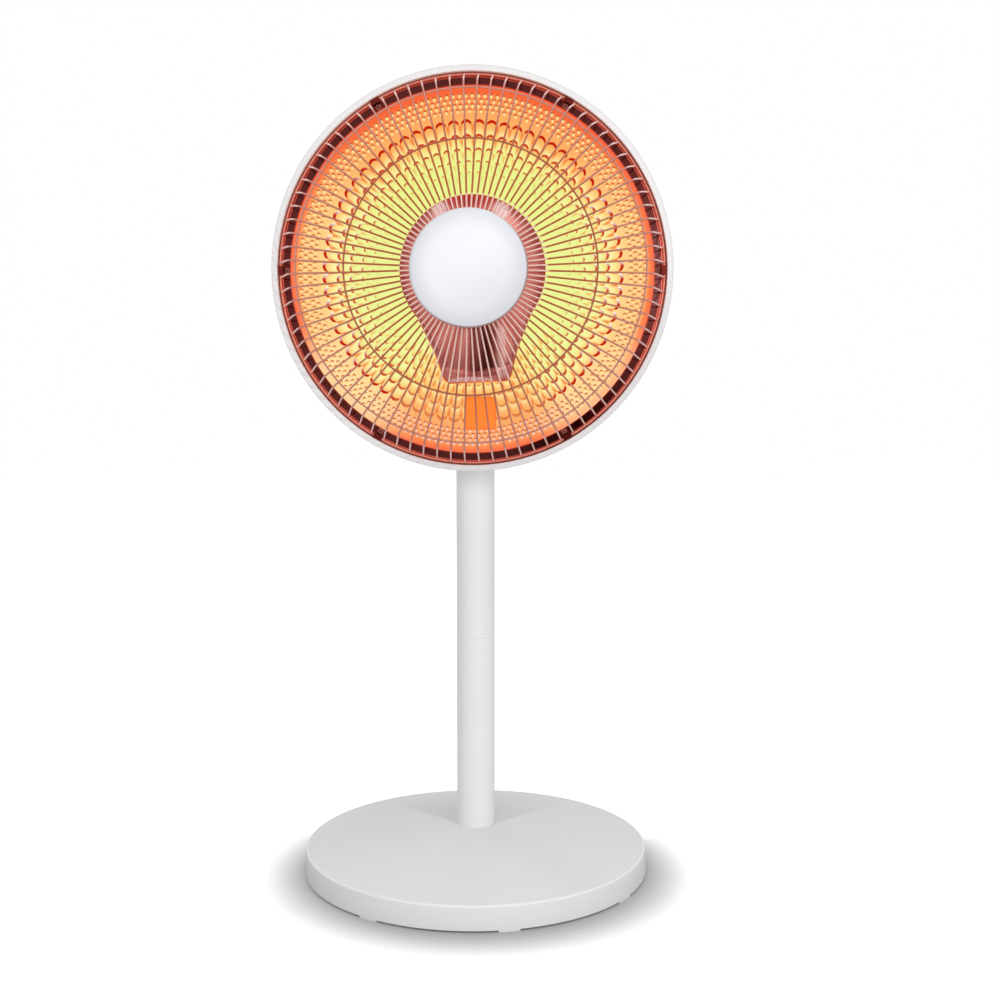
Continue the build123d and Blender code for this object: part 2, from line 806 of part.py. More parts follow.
def shield_outline():
    """The bulb outline of the shield, drawn from the dish centre."""
    side = on_circle(shield_radius, -shield_neck_angle)
    neck = (shield_neck_half, -shield_neck_drop)
    foot = (shield_stem_half, -shield_stem_drop)
    mirrored = [(-x, y) for x, y in (side, neck, foot)]
    with BuildLine() as outline:
        ThreePointArc(side, (0, shield_radius), mirrored[0])
        Line(mirrored[0], mirrored[1])
        Line(mirrored[1], mirrored[2])
        Line(mirrored[2], foot)
        Line(foot, neck)
        Line(neck, side)
    return outline


def lamp_shield_piece():
    """The mirrored bulb-shaped shield in front of the lamp: a shallow cup, open behind."""
    outline = shield_outline()
    with BuildPart() as piece:
        with BuildSketch(head_plane(shield_forward)) as front:
            add(outline.line)
            make_face()
            fillet(front.vertices().sort_by(Axis.Y)[:2], radius=shield_corner)
        extrude(amount=-shield_depth, taper=-shield_draft)
        chamfer(piece.faces().sort_by(Axis.Y)[0].edges(), length=shield_edge_bevel)
        with BuildSketch(head_plane(shield_forward - sheet)) as hollow:
            add(outline.line)
            make_face()
            fillet(hollow.vertices().sort_by(Axis.Y)[:2], radius=shield_corner)
            offset(amount=-shield_wall)
        extrude(amount=-shield_depth, taper=-shield_draft, mode=Mode.SUBTRACT)
    return save(piece, "lamp_shield")


def lamp_path():
    """The lamp's centre line: a leg, a small bend, the ring, the other bend and leg."""
    reach = lamp_ring_radius + lamp_bend_radius
    bend_x = lamp_leg_offset + lamp_bend_radius
    bend_drop = sqrt(reach**2 - bend_x**2)
    share = lamp_ring_radius / reach
    leg_top = (lamp_leg_offset, -bend_drop)
    ring_end = (bend_x * share, -bend_drop * share)
    centre_direction = (leg_top[0] + ring_end[0] - 2 * bend_x, leg_top[1] + ring_end[1] + 2 * bend_drop)
    length = sqrt(centre_direction[0] ** 2 + centre_direction[1] ** 2)
    bend_middle = (
        bend_x + centre_direction[0] / length * lamp_bend_radius,
        -bend_drop + centre_direction[1] / length * lamp_bend_radius,
    )
    with BuildLine(head_plane(-lamp_setback)) as path:
        Line((-lamp_leg_offset, -lamp_leg_end), (-leg_top[0], leg_top[1]))
        ThreePointArc(
            (-leg_top[0], leg_top[1]),
            (-bend_middle[0], bend_middle[1]),
            (-ring_end[0], ring_end[1]),
        )
        ThreePointArc((-ring_end[0], ring_end[1]), (0, lamp_ring_radius), ring_end)
        ThreePointArc(ring_end, bend_middle, leg_top)
        Line(leg_top, (lamp_leg_offset, -lamp_leg_end))
    return path


def lamp_pieces():
    """The quartz tube, the carbon element in it, the ceramic end caps, the bracket and its posts."""
    path = lamp_path()
    start = Plane(origin=path.line @ 0, z_dir=path.line % 0, x_dir=(1, 0, 0))
    with BuildPart() as tube:
        with BuildSketch(start):
            RegularPolygon(lamp_tube_radius, lamp_tube_sides)
            RegularPolygon(lamp_bore_radius, lamp_tube_sides, mode=Mode.SUBTRACT)
        sweep(path=path.line)
    save(tube, "lamp_tube")
    with BuildPart() as element:
        with BuildSketch(start):
            Rectangle(element_width, element_thickness)
        sweep(path=path.line)
    save(element, "carbon_element")
    cap_bottom = lamp_leg_end + lamp_cap_length - lamp_cap_seat
    with BuildPart() as caps:
        with BuildSketch(Plane.XY.offset(head_height - cap_bottom)):
            with Locations(
                (-lamp_leg_offset, lamp_setback - rim_reach),
                (lamp_leg_offset, lamp_setback - rim_reach),
            ):
                Circle(lamp_cap_radius)
        extrude(amount=lamp_cap_length)
        with BuildSketch(Plane.XY.offset(head_height - lamp_leg_end)):
            with Locations(
                (-lamp_leg_offset, lamp_setback - rim_reach),
                (lamp_leg_offset, lamp_setback - rim_reach),
            ):
                Circle(lamp_tube_radius + fit)
        extrude(amount=lamp_cap_seat, mode=Mode.SUBTRACT)
    save(caps, "lamp_caps")
    floor = dish_forward(dish_floor_radius)
    plate = -lamp_setback - lamp_cap_radius - bracket_gap
    shelf = -cap_bottom
    with BuildPart() as bracket:
        with BuildSketch(head_section):
            with BuildLine():
                Polyline(
                    (bracket_foot_rise, floor),
                    (-bracket_foot_drop, floor),
                    (-bracket_foot_drop - bracket_sheet, plate - bracket_sheet),
                    (shelf - bracket_sheet, plate - bracket_sheet),
                    (shelf - bracket_sheet, -lamp_setback + lamp_cap_radius),
                    (shelf, -lamp_setback + lamp_cap_radius),
                    (shelf, plate),
                    (-bracket_foot_drop + bracket_sheet, plate),
                    (-bracket_foot_drop + bracket_sheet, floor + bracket_sheet),
                    (bracket_foot_rise, floor + bracket_sheet),
                    close=True,
                )
            make_face()
        extrude(amount=bracket_width / 2, both=True)
    save(bracket, "lamp_bracket")
    with BuildPart() as posts:
        with BuildSketch(head_plane(plate)):
            with Locations((0, -post_high_drop), (0, -post_low_drop)):
                Circle(shield_post_radius)
        extrude(amount=shield_forward - sheet - plate)
    save(posts, "shield_posts")


def rear_view_place(side):
    """The centre of the left or right control, drawn on the dish's front plane."""
    return (side * knob_spacing / 2, knob_rise)


def control_pieces():
    """The switch, the timer, the swing motor, the terminal block and the thermal cut-out."""
    back = -shell_depth - housing_depth
    inside = back + housing_wall
    for name, side, depth in (("heat_switch", -1, switch_depth), ("timer_unit", 1, timer_depth)):
        with BuildPart() as control:
            with BuildSketch(head_plane(inside)):
                with Locations(rear_view_place(side)):
                    if side < 0:
                        Rectangle(switch_size, switch_size)
                    else:
                        Circle(timer_radius)
            extrude(amount=depth)
            with BuildSketch(head_plane(inside)):
                with Locations(rear_view_place(side)):
                    Circle(spindle_radius + gap)
            extrude(amount=spindle_seat + gap, mode=Mode.SUBTRACT)
        save(control, name)
    with BuildPart() as motor:
        with BuildSketch(Plane.XY.offset(motor_bottom)):
            with Locations((0, motor_offset)):
                Circle(motor_radius)
        extrude(amount=motor_height)
    save(motor, "swing_motor")
    with BuildPart() as terminals:
        with BuildSketch(head_plane(-shell_depth)):
            with Locations((0, (shell_window_radius + housing_radius) / 2)):
                Rectangle(terminal_length, terminal_width)
        extrude(amount=-terminal_height)
    save(terminals, "terminal_block")
    with BuildPart() as cutout:
        with BuildSketch(head_plane(dish_forward(dish_floor_radius) - sheet)):
            with Locations((0, dish_floor_radius / 2)):
                Circle(cutout_radius)
        extrude(amount=-cutout_height)
    save(cutout, "thermal_cutout")


def knob_pieces():
    """The two turning knobs with their spindles, and the push-pull swing knob."""
    back = -shell_depth - housing_depth
    for name, side in (("heat_knob", -1), ("timer_knob", 1)):
        with BuildPart() as knob:
            with BuildSketch(head_plane(back - knob_gap)):
                with Locations(rear_view_place(side)):
                    Circle(knob_radius)
            extrude(amount=-(knob_height - knob_grip_height), taper=knob_draft)
            with BuildSketch(head_plane(back - knob_gap)):
                with Locations(rear_view_place(side)):
                    Rectangle(knob_grip_width, 2 * (knob_radius - knob_grip_inset))
            extrude(amount=-knob_height)
            with BuildSketch(head_plane(back - knob_gap)):
                with Locations(rear_view_place(side)):
                    Circle(spindle_radius)
            extrude(amount=knob_gap + housing_wall + spindle_seat)
        save(knob, name)
    with BuildPart() as swing:
        with BuildSketch(head_plane(back - knob_gap)):
            with Locations((0, -swing_knob_drop)):
                Circle(swing_knob_radius)
        extrude(amount=-swing_knob_height)
        with BuildSketch(head_plane(back - knob_gap)):
            with Locations((0, -swing_knob_drop)):
                Circle(swing_stem_radius)
        extrude(amount=knob_gap + swing_stem_length)
    save(swing, "swing_knob")


def tip_switch_pieces():
    """The tip-over switch case on the bottom plate and its plunger, held in by a collar."""
    collar_low = plate_top + plunger_travel + gap
    collar_high = collar_low + plunger_collar_height
    with BuildPart() as case:
        with BuildSketch(Plane.XY.offset(plate_top)):
            with Locations((0, switch_reach)):
                Rectangle(tip_case_length, tip_case_width)
        extrude(amount=tip_case_height)
        for radius, top in (
            (plunger_collar_radius + gap, collar_high + gap),
            (plunger_radius + gap, plunger_length + gap),
        ):
            with BuildSketch(Plane.XY.offset(plate_top)):
                with Locations((0, switch_reach)):
                    Circle(radius)
            extrude(amount=top - plate_top, mode=Mode.SUBTRACT)
    save(case, "tip_switch")
    with BuildPart() as plunger:
        with BuildSketch(Plane.XY):
            with Locations((0, switch_reach)):
                Circle(plunger_radius)
        extrude(amount=plunger_length)
        fillet(plunger.edges().filter_by(GeomType.CIRCLE).sort_by(Axis.Z)[0], radius=plunger_tip_radius)
        with BuildSketch(Plane.XY.offset(collar_low)):
            with Locations((0, switch_reach)):
                Circle(plunger_collar_radius)
        extrude(amount=plunger_collar_height)
    save(plunger, "tip_plunger")


def cord_inlet_piece():
    """The rubber grommet in the base's rear wall, flush outside, with a flange inside."""
    inner_face = base_top_radius - base_wall
    with BuildPart() as piece:
        with BuildSketch(Plane.XZ.offset(-base_top_radius)):
            with Locations((0, inlet_height)):
                Circle(inlet_radius)
        extrude(amount=inlet_length)
        with BuildSketch(Plane.XZ.offset(-inner_face)):
            with Locations((0, inlet_height)):
                Circle(inlet_flange_radius)
        extrude(amount=inlet_flange)
        with BuildSketch(Plane.XZ.offset(-base_top_radius - overrun)):
            with Locations((0, inlet_height)):
                Circle(inlet_hole_radius)
        extrude(amount=inlet_length + 2 * overrun, mode=Mode.SUBTRACT)
    return save(piece, "cord_inlet")


def build_all():
    """Build every piece in turn."""
    base_shell_piece()
    base_weight_piece()
    bottom_plate_piece()
    base_screws_piece()
    pole_pieces()
    pole_head_piece()
    tilt_bolt_pieces()
    neck_piece()
    swivel_pieces()
    rear_shell_piece()
    rear_housing_piece()
    housing_screws_piece()
    reflector_piece()
    trim_ring_piece()
    wire_guard_piece()
    guard_ring_pieces()
    guard_cap_pieces()
    guard_clip_pieces()
    lamp_shield_piece()
    lamp_pieces()
    control_pieces()
    knob_pieces()
    tip_switch_pieces()
    cord_inlet_piece()


build_all()
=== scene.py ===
"""Looks of the carbon dish heater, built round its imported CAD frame. Lengths are metres."""

import math
import json

import bmesh
import bpy
from mathutils import Matrix, Vector


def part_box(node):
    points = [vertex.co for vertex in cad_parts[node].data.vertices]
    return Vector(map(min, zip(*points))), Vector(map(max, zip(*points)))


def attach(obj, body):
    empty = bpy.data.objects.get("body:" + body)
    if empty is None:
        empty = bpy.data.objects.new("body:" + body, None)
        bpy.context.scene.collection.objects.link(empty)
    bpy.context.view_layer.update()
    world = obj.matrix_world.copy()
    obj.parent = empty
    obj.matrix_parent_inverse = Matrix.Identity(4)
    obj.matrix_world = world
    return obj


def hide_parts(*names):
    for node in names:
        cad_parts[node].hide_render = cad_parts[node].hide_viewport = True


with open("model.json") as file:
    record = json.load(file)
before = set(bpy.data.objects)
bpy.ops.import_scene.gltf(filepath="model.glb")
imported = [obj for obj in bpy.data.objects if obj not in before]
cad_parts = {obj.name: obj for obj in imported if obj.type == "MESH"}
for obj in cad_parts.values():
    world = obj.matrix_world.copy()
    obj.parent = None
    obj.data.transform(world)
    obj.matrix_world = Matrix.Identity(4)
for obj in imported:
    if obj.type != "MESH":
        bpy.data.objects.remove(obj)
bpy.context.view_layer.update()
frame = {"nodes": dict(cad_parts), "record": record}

mm = 0.001
full_turn = 2 * math.pi

# Places read from the frame
shell_low, shell_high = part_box("rear_shell")
head_centre = Vector(((shell_low.x + shell_high.x) / 2, shell_low.y, (shell_low.z + shell_high.z) / 2))
base_low, base_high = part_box("base_shell")
base_radius = (base_high.x - base_low.x) / 2

# Camera
camera_distance = 1.1815
camera_height = 0.435
camera_azimuth = math.radians(2.0)
camera_yaw = math.radians(0.91)
camera_pitch = math.radians(4.5)
camera_lens = 46.5
camera_sensor = 36.0

# Guard sizes; pairs are a radius and a place forward of the shell's rim
wire_count = 84
wire_radius = 0.76 * mm
wire_start = (30 * mm, 42 * mm)
middle_ring = (105 * mm, 36.5 * mm)
outer_ring = (145.6 * mm, 30 * mm)
wire_bend = (152 * mm, 26.5 * mm)
wire_end = (163.1 * mm, -2.8 * mm)
wire_bend_reach = 8 * mm
hub_radius = 38 * mm
hub_hole_radius = 2.2 * mm
hub_thickness = 1.5 * mm
weld_gap = 0.05 * mm
hub_sag = Vector((-1.15 * mm, 0, -2.55 * mm))
middle_ring_sag = Vector((0, 0, -1.35 * mm))
hoop_radius = 163.1 * mm
hoop_middle = -4.3 * mm
hoop_wire_radius = 1.5 * mm
cap_wall = 1.6 * mm
cap_roll = 3.2 * mm
cap_rise = 8.2 * mm
cap_skirt_lift = 3 * mm
cap_eye_radius = 0.05 * mm

# Dish sizes: radii from its axis, places forward of the shell's rim
dish_radius = 154.2 * mm
dish_depth = 46 * mm
dish_flange = -8 * mm
dish_sheet = 0.8 * mm
dish_floor_radius = 32 * mm
dish_eye_radius = 0.02 * dish_floor_radius
flange_radius = 164.9 * mm
facet_count = 72
dish_fine_step = 0.75 * mm
dish_coarse_step = 6 * mm
arch_radii = tuple(radius * mm for radius in (128.6, 117.5, 107.0, 97.2, 88.2))
arch_last_width = 11 * mm
arch_edges = (*arch_radii, arch_radii[-1] - arch_last_width)
arch_bow = 3.6 * mm
pad_rise = 1.1 * mm
pad_drop_width = 1.1 * mm
dimple_count = 172
dimple_rows = 4
dimple_first_radius = 135.9 * mm
dimple_pitch = 3.85 * mm
dimple_radius = 1.5 * mm
dimple_depth = 0.55 * mm
relief_split_radius = 132.2 * mm

# Trim sizes
trim_front = -5.8 * mm
trim_inner_radius = 154.6 * mm
trim_outer_radius = 165.1 * mm
trim_lip_radius = 0.4 * mm

# Shield sizes
shield_radius = 61.7 * mm
shield_neck = (34.5 * mm, 70 * mm)
shield_stem = (28 * mm, 94.8 * mm)
shield_neck_angle = math.radians(38)
shield_corner = 7 * mm
shield_front = 12 * mm
shield_depth = 14 * mm
shield_edge = 3 * mm
shield_lean = math.radians(2.6)
shield_shift = Vector((0.6 * mm, 0, 0))
shield_crown = 3 * mm
shield_across_bow = 2.3
shield_along_bow = 0.4
shield_lip = 6.5 * mm
shield_lip_bow = 6.5
shield_lip_slope = 0.35
shield_back_inset = 0.6 * mm
shield_middle = -15 * mm

# Blank plate sizes
plate_width = 27.6 * mm
plate_height = 28.6 * mm
plate_top = -106.6 * mm
plate_middle = 6.0 * mm
plate_lift = 1.5 * mm
plate_steps = 12

# Lamp sizes
lamp_ring_radius = 42 * mm
lamp_tube_radius = 5 * mm
lamp_bore_radius = 3.6 * mm
lamp_setback = 10 * mm
lamp_leg_offset = 14 * mm
lamp_leg_end = 84 * mm
lamp_bend_radius = 14 * mm

# Pole sizes
pole_wall = 1.2 * mm
pole_end_chamfer = 0.2 * mm
pole_joint_chamfer = 0.5 * mm

# Screw head sizes; the recess's depth and the profile's drops are in millimetres, its radii in shares
screw_count = 6
screw_radius = 2.8 * mm
screw_recess_depth = 0.55
screw_profile = ((1.0, 1.8), (1.0, 1.1), (0.93, 0.7), (0.8, 0.35), (0.6, 0.15), (0.42, 0.05), (0.28, 0.0),
                 (0.12, 0.0), (0.01, 0.0))

# Studio sizes: the painted shadow under the base, the floor's half width, and how far ahead the cards stand
shade_across = 2 * mm
shade_ahead = 11 * mm
shade_start = base_radius - 27 * mm
shade_end = base_radius + 74 * mm
floor_reach = 6
card_distance = 3


def paint(red, green, blue):
    """A colour read as 0 to 255 off a screen, as the linear colour that a node wants."""
    linear = []
    for value in (red, green, blue):
        share = value / 255
        linear.append(share / 12.92 if share <= 0.04045 else ((share + 0.055) / 1.055) ** 2.4)
    return (*linear, 1.0)


def set_camera():
    """The photograph's view: a little right of the axis, a little above the middle."""
    camera = bpy.data.objects.new("camera", bpy.data.cameras.new("camera"))
    bpy.context.scene.collection.objects.link(camera)
    camera.data.lens = camera_lens
    camera.data.sensor_width = camera_sensor
    camera.location = (
        camera_distance * math.sin(camera_azimuth),
        -camera_distance * math.cos(camera_azimuth),
        camera_height,
    )
    camera.rotation_euler = (math.radians(90) - camera_pitch, 0, camera_yaw)
    bpy.context.scene.camera = camera


set_camera()


# Node helpers

class Value:
    """A number or colour in a node tree; arithmetic with numbers makes Math nodes."""

    def __init__(self, tree, socket):
        self.tree = tree
        self.socket = socket

    def __add__(self, other):
        return calc("ADD", self, other)

    def __sub__(self, other):
        return calc("SUBTRACT", self, other)

    def __rsub__(self, other):
        return calc("SUBTRACT", other, self)

    def __mul__(self, other):
        return calc("MULTIPLY", self, other)

    def __truediv__(self, other):
        return calc("DIVIDE", self, other)

    def __abs__(self):
        return calc("ABSOLUTE", self)


def feed(value, socket):
    """Link a value to a socket, or set a plain one on it."""
    if isinstance(value, Value):
        value.tree.links.new(value.socket, socket)
    else:
        socket.default_value = value


def put(tree, kind, settings=(), **values):
    """A new node with these settings and socket values."""
    made = tree.nodes.new(kind)
    for key, value in dict(settings).items():
        setattr(made, key, value)
    for key, value in values.items():
        feed(value, made.inputs[key.replace("_", " ")])
    return made


def tree_of(*values):
    """The node tree that holds the first of these values that is in one."""
    return next(value.tree for value in values if isinstance(value, Value))


def calc(operation, *values):
    """One step of arithmetic, as a Math node."""
    tree = tree_of(*values)
    made = put(tree, "ShaderNodeMath", {"operation": operation})
    for value, socket in zip(values, made.inputs):
        feed(value, socket)
    return Value(tree, made.outputs[0])


def length(across, up):
    """How far a place is from the origin."""
    return calc("SQRT", across * across + up * up)


def vector_step(operation, first, second):
    """One step of arithmetic on a vector or colour."""
    made = put(first.tree, "ShaderNodeVectorMath", {"operation": operation})
    feed(first, made.inputs[0])
    feed(second, made.inputs["Scale" if operation == "SCALE" else 1])
    return Value(first.tree, made.outputs[0])


def mix(share, first, second, mode="MIX"):
    """Mix two colours."""
    tree = tree_of(share, first, second)
    made = put(tree, "ShaderNodeMix", {"data_type": "RGBA", "blend_type": mode},
               Factor=share, A=first, B=second)
    return Value(tree, made.outputs["Result"])


def fade(value, start, end):
    """0 before start and 1 after end, with a smooth way between."""
    made = put(value.tree, "ShaderNodeMapRange", {"interpolation_type": "SMOOTHSTEP"},
               Value=value, From_Min=start, From_Max=end)
    return Value(value.tree, made.outputs["Result"])


def ramp(value, *stops):
    """A colour ramp through (place, red, green, blue) stops."""
    made = put(value.tree, "ShaderNodeValToRGB", Fac=value)
    points = made.color_ramp.elements
    while len(points) < len(stops):
        points.new(0.5)
    for point, (place, *colour) in zip(points, stops):
        point.position = place
        point.color = paint(*colour)
    return Value(value.tree, made.outputs["Color"])


def noise(place, scale, **values):
    """A noise over a place."""
    made = put(place.tree, "ShaderNodeTexNoise", Vector=place, Scale=scale, **values)
    return Value(place.tree, made.outputs["Fac"])


def coordinates(tree, kind="Object"):
    """The place on the piece, or its normal."""
    return Value(tree, put(tree, "ShaderNodeTexCoord").outputs[kind])


def split(vector):
    """A vector's three numbers."""
    made = put(vector.tree, "ShaderNodeSeparateXYZ", Vector=vector)
    return [Value(vector.tree, socket) for socket in made.outputs]


def light_path(tree, kind):
    """One output of a Light Path node, such as whether a camera ray sees the surface."""
    return Value(tree, put(tree, "ShaderNodeLightPath").outputs[kind])


def new_group(name, **defaults):
    """A shader node group's tree and its inputs, with these defaults."""
    tree = bpy.data.node_groups.new(name, "ShaderNodeTree")
    for label, value in defaults.items():
        kind = {3: "Vector", 4: "Color"}[len(value)] if isinstance(value, tuple) else "Float"
        socket = tree.interface.new_socket(label, in_out="INPUT", socket_type="NodeSocket" + kind)
        socket.default_value = value
    given = put(tree, "NodeGroupInput").outputs
    return tree, {label: Value(tree, given[label]) for label in defaults}


def end_group(tree, **results):
    """Give a group its outputs."""
    for label in results:
        kind = "NodeSocketColor" if label == "Colour" else "NodeSocketFloat"
        tree.interface.new_socket(label, in_out="OUTPUT", socket_type=kind)
    put(tree, "NodeGroupOutput", **results)
    return tree


def use_group(tree, group, **values):
    """Place a group in a material, and give its outputs by name."""
    made = put(tree, "ShaderNodeGroup", {"node_tree": group}, **values)
    return {socket.name: Value(tree, socket) for socket in made.outputs}


# Shared effects

def grain_group():
    """Fine moulded grain: a height, a faint change of tone and a change of roughness."""
    tree, given = new_group("fine_grain", Scale=900.0, Colour=(1, 1, 1, 1), Roughness=0.4, Variation=0.03)
    place = coordinates(tree)
    fine = noise(place, given["Scale"], Detail=3.0, Roughness=0.6)
    broad = noise(place, 9.0, Detail=2.0) - 0.5
    tone = vector_step("SCALE", given["Colour"], broad * given["Variation"] + 1.0)
    rough = (fine - 0.5) * 0.12 + given["Roughness"] + broad * 0.08
    return end_group(tree, Height=fine, Colour=tone, Roughness=rough)


def polish_group():
    """Polished sheet metal: faint buffing marks in its roughness, tone and height."""
    tree, given = new_group("buffed_polish", Colour=(1, 1, 1, 1), Roughness=0.1, Stretch=6.0)
    place = coordinates(tree)
    spread = put(tree, "ShaderNodeCombineXYZ", X=1.0, Y=1.0, Z=calc("DIVIDE", 1.0, given["Stretch"]))
    scaled = vector_step("MULTIPLY", place, Value(tree, spread.outputs[0]))
    marks = noise(scaled, 420.0, Detail=4.0, Roughness=0.65)
    cloudy = noise(place, 22.0, Detail=2.0) - 0.5
    tone = vector_step("SCALE", given["Colour"], cloudy * 0.10 + 1.0)
    rough = (marks - 0.5) * 0.06 + given["Roughness"] + cloudy * 0.08
    return end_group(tree, Height=marks, Colour=tone, Roughness=rough)


def polar_group():
    """A place about a centre: radius and angle from 12 o'clock, across, up and forward, in millimetres."""
    tree, given = new_group("dish_polar", Centre=(0.0, 0.0, 0.0))
    x, y, z = split(vector_step("SUBTRACT", coordinates(tree), given["Centre"]))
    across, up = x * 1000.0, z * 1000.0
    return end_group(tree, Radius=length(across, up), Angle=calc("ARCTAN2", across, up), Across=across,
                     Up=up, Forward=y * -1000.0)


grain = grain_group()
polish = polish_group()
polar = polar_group()


# Materials

def new_material(name):
    """An empty material and its node tree; its glow isn't sampled as a lamp."""
    material = bpy.data.materials.new(name)
    material.use_nodes = True
    material.cycles.emission_sampling = "NONE"
    return material, material.node_tree


def coat(material, bump=None, **values):
    """Give these values to a material's shader, with a bump of (height, strength, distance)."""
    tree = material.node_tree
    shader = tree.nodes["Principled BSDF"]
    for key, value in values.items():
        feed(value, shader.inputs[key.replace("_", " ")])
    if bump:
        height, strength, distance = bump
        made = put(tree, "ShaderNodeBump", Height=height, Strength=strength, Distance=distance)
        feed(Value(tree, made.outputs["Normal"]), shader.inputs["Normal"])
    return material


def grained_plastic(name, colour, roughness, scale=900.0, strength=0.25, **values):
    """Moulded plastic or paint with a fine grain."""
    material, tree = new_material(name)
    made = use_group(tree, grain, Scale=scale, Colour=colour, Roughness=roughness)
    return coat(material, (made["Height"], strength, 0.1 * mm), Base_Color=made["Colour"],
                Roughness=made["Roughness"], **values)


def polished_metal(name, colour, roughness):
    """Sheet or wire metal with buffing marks."""
    material, tree = new_material(name)
    made = use_group(tree, polish, Colour=colour, Roughness=roughness)
    return coat(material, (made["Height"], 0.05, 0.05 * mm), Base_Color=made["Colour"],
                Roughness=made["Roughness"], Metallic=1.0)


def facet_cell(angle):
    """Place across one facet of the dish, from -0.5 to 0.5 going clockwise."""
    return calc("FRACT", angle * (facet_count / full_turn) + facet_count) - 0.5


def dimple_marks(radius, angle):
    """The dimple band: 1 in the shaded upper part of each dimple, 1 in its lit lower part."""
    row_place = (radius - dimple_first_radius / mm) / (dimple_pitch / mm)
    row = calc("ROUND", row_place)
    outward = (row_place - row) * (dimple_pitch / mm)
    cell = calc("FRACT", angle * (dimple_count / full_turn) + dimple_count + row * 0.5) - 0.5
    along = cell * (full_turn / dimple_count) * radius
    sine, cosine = calc("SINE", angle), calc("COSINE", angle)
    across = outward * sine + along * cosine
    up = outward * cosine - along * sine
    band = calc("GREATER_THAN", row, -0.5) * calc("LESS_THAN", row, dimple_rows - 0.5)
    return [fade(length(across, up - lift), size, size * 0.6) * band
            for lift, size in ((0.55, 1.85), (-0.45, 1.55))]


def dish_tone(radius, angle):
    """The glow over the dish: paler at the sides, palest low on them, redder at the top rim."""
    share = radius / (dish_radius / mm)
    upper = ramp(
        share, (0.00, 236, 243, 146), (0.60, 232, 246, 142), (0.69, 240, 240, 142), (0.755, 253, 210, 124),
        (0.81, 253, 182, 104), (0.88, 253, 168, 98), (0.95, 250, 140, 82), (0.972, 247, 106, 58),
        (1.0, 250, 100, 60),
    )
    sides = ramp(
        share, (0.00, 238, 243, 150), (0.60, 233, 247, 150), (0.72, 240, 244, 154), (0.80, 252, 230, 150),
        (0.86, 254, 208, 136), (0.94, 254, 200, 134), (0.965, 252, 176, 108), (0.98, 252, 132, 80),
        (1.0, 248, 116, 78),
    )
    lower = ramp(
        share, (0.00, 238, 242, 146), (0.55, 250, 214, 128), (0.75, 250, 184, 110), (0.95, 250, 162, 102),
        (0.98, 250, 132, 78), (1.0, 246, 112, 76),
    )
    height = calc("COSINE", angle)
    colour = mix(fade(height, 0.92, 0.15), upper, sides)
    slope = fade(height, -0.25, -0.6) * fade(share, 0.80, 0.90)
    colour = mix(slope * (calc("SINE", angle) * -0.18 + 0.62), colour, paint(255, 230, 172))
    return mix(fade(height, -0.78, -0.96), colour, lower)


def glowing_dish():
    """The dish in the lamp's light, painted on as glow: shaded risers and lit pads of its pressed rows, and a
    plain dull back.
    """
    material, tree = new_material("glowing_dish")
    place = use_group(tree, polar)
    radius, angle = place["Radius"], place["Angle"]
    cell = facet_cell(angle)
    aside = abs(cell)
    sine, cosine = calc("SINE", angle), calc("COSINE", angle)
    side = sine * (cell * -1.0) * fade(abs(sine), 0.62, 0.9)
    bowed = cell * cell * (4 * arch_bow / mm) + radius
    colour = dish_tone(radius, angle)
    fainter = 1.0 - fade(cosine, -0.8, -0.95) * 0.45
    low = fade(cosine, -0.5, -0.8)
    looks = ((1.75, 0.40, (196, 30, 10), 1.0, 1.0), (1.55, 0.37, (204, 52, 24), 0.95, 0.85),
             (1.3, 0.30, (206, 76, 40), 0.95, 0.55), (1.1, 0.23, (212, 108, 56), 0.9, 0.35),
             (0.9, 0.17, (222, 158, 80), 0.8, 0.25))
    for outer, inner, (thickness, reach, tone, strength, shade) in zip(arch_edges, arch_edges[1:], looks):
        shade = low * (0.9 - 0.9 * shade) + shade
        share = (bowed - inner / mm) / ((outer - inner) / mm)
        inside = fade(share, -0.02, 0.06) * fade(share, 1.0, 0.97)
        # Painted light and shade on each row: a highlight on the pad, shade deep in it and down its legs.
        pale = fade(share, 0.62, 0.0) * inside * fade(aside, 0.46, 0.26)
        colour = mix(pale * (shade * 0.62), colour, paint(254, 250, 178))
        deep = fade(share, 0.45, 0.98) * inside
        colour = mix(deep * (shade * 0.5), colour, paint(250, 176, 84))
        leg = fade(aside, 0.36, 0.44) * inside * fade(share, 0.2, 0.75)
        colour = mix(leg * (shade * 0.8), colour, paint(242, 118, 60))
        # Painted shaded riser at each arch.
        mark = fade(abs(bowed - outer / mm), thickness, thickness * 0.5)
        mark = mark * fade(aside, reach + 0.06, reach - 0.06)
        # Painted glint of light on the riser at the sides of the dish.
        glint_tone = mix(fade(side, 0.02, 0.20), paint(*tone), paint(216, 168, 170))
        glint_tone = mix(fade(side, 0.24, 0.36), glint_tone, paint(255, 248, 244))
        colour = mix(mark * strength * fainter, colour, glint_tone)
    # Painted shade in the upper part of each dimple and painted light in its lower part.
    dark, light = dimple_marks(radius, angle)
    lit = mix(fade(cosine, -0.7, -0.95), paint(255, 228, 152), paint(255, 206, 176))
    colour = mix(dark * 0.92, colour, paint(204, 84, 44))
    colour = mix(light * 0.92, colour, lit)
    back = calc("GREATER_THAN", split(coordinates(tree, "Normal"))[1], 0.05)
    # The glow is painted as emission; the dish is no lamp.
    unlit = calc("MAXIMUM", back, fade(radius, dish_radius / mm + 0.2, dish_radius / mm + 0.6))
    front_tone = mix(1.0, (0.05, 0.03, 0.02, 1), colour, "MULTIPLY")
    return coat(material, Base_Color=mix(back, front_tone, (0.5, 0.49, 0.48, 1)), Metallic=1.0,
                Roughness=0.32, Emission_Color=mix(unlit, colour, (0, 0, 0, 1)), Emission_Strength=1.0)


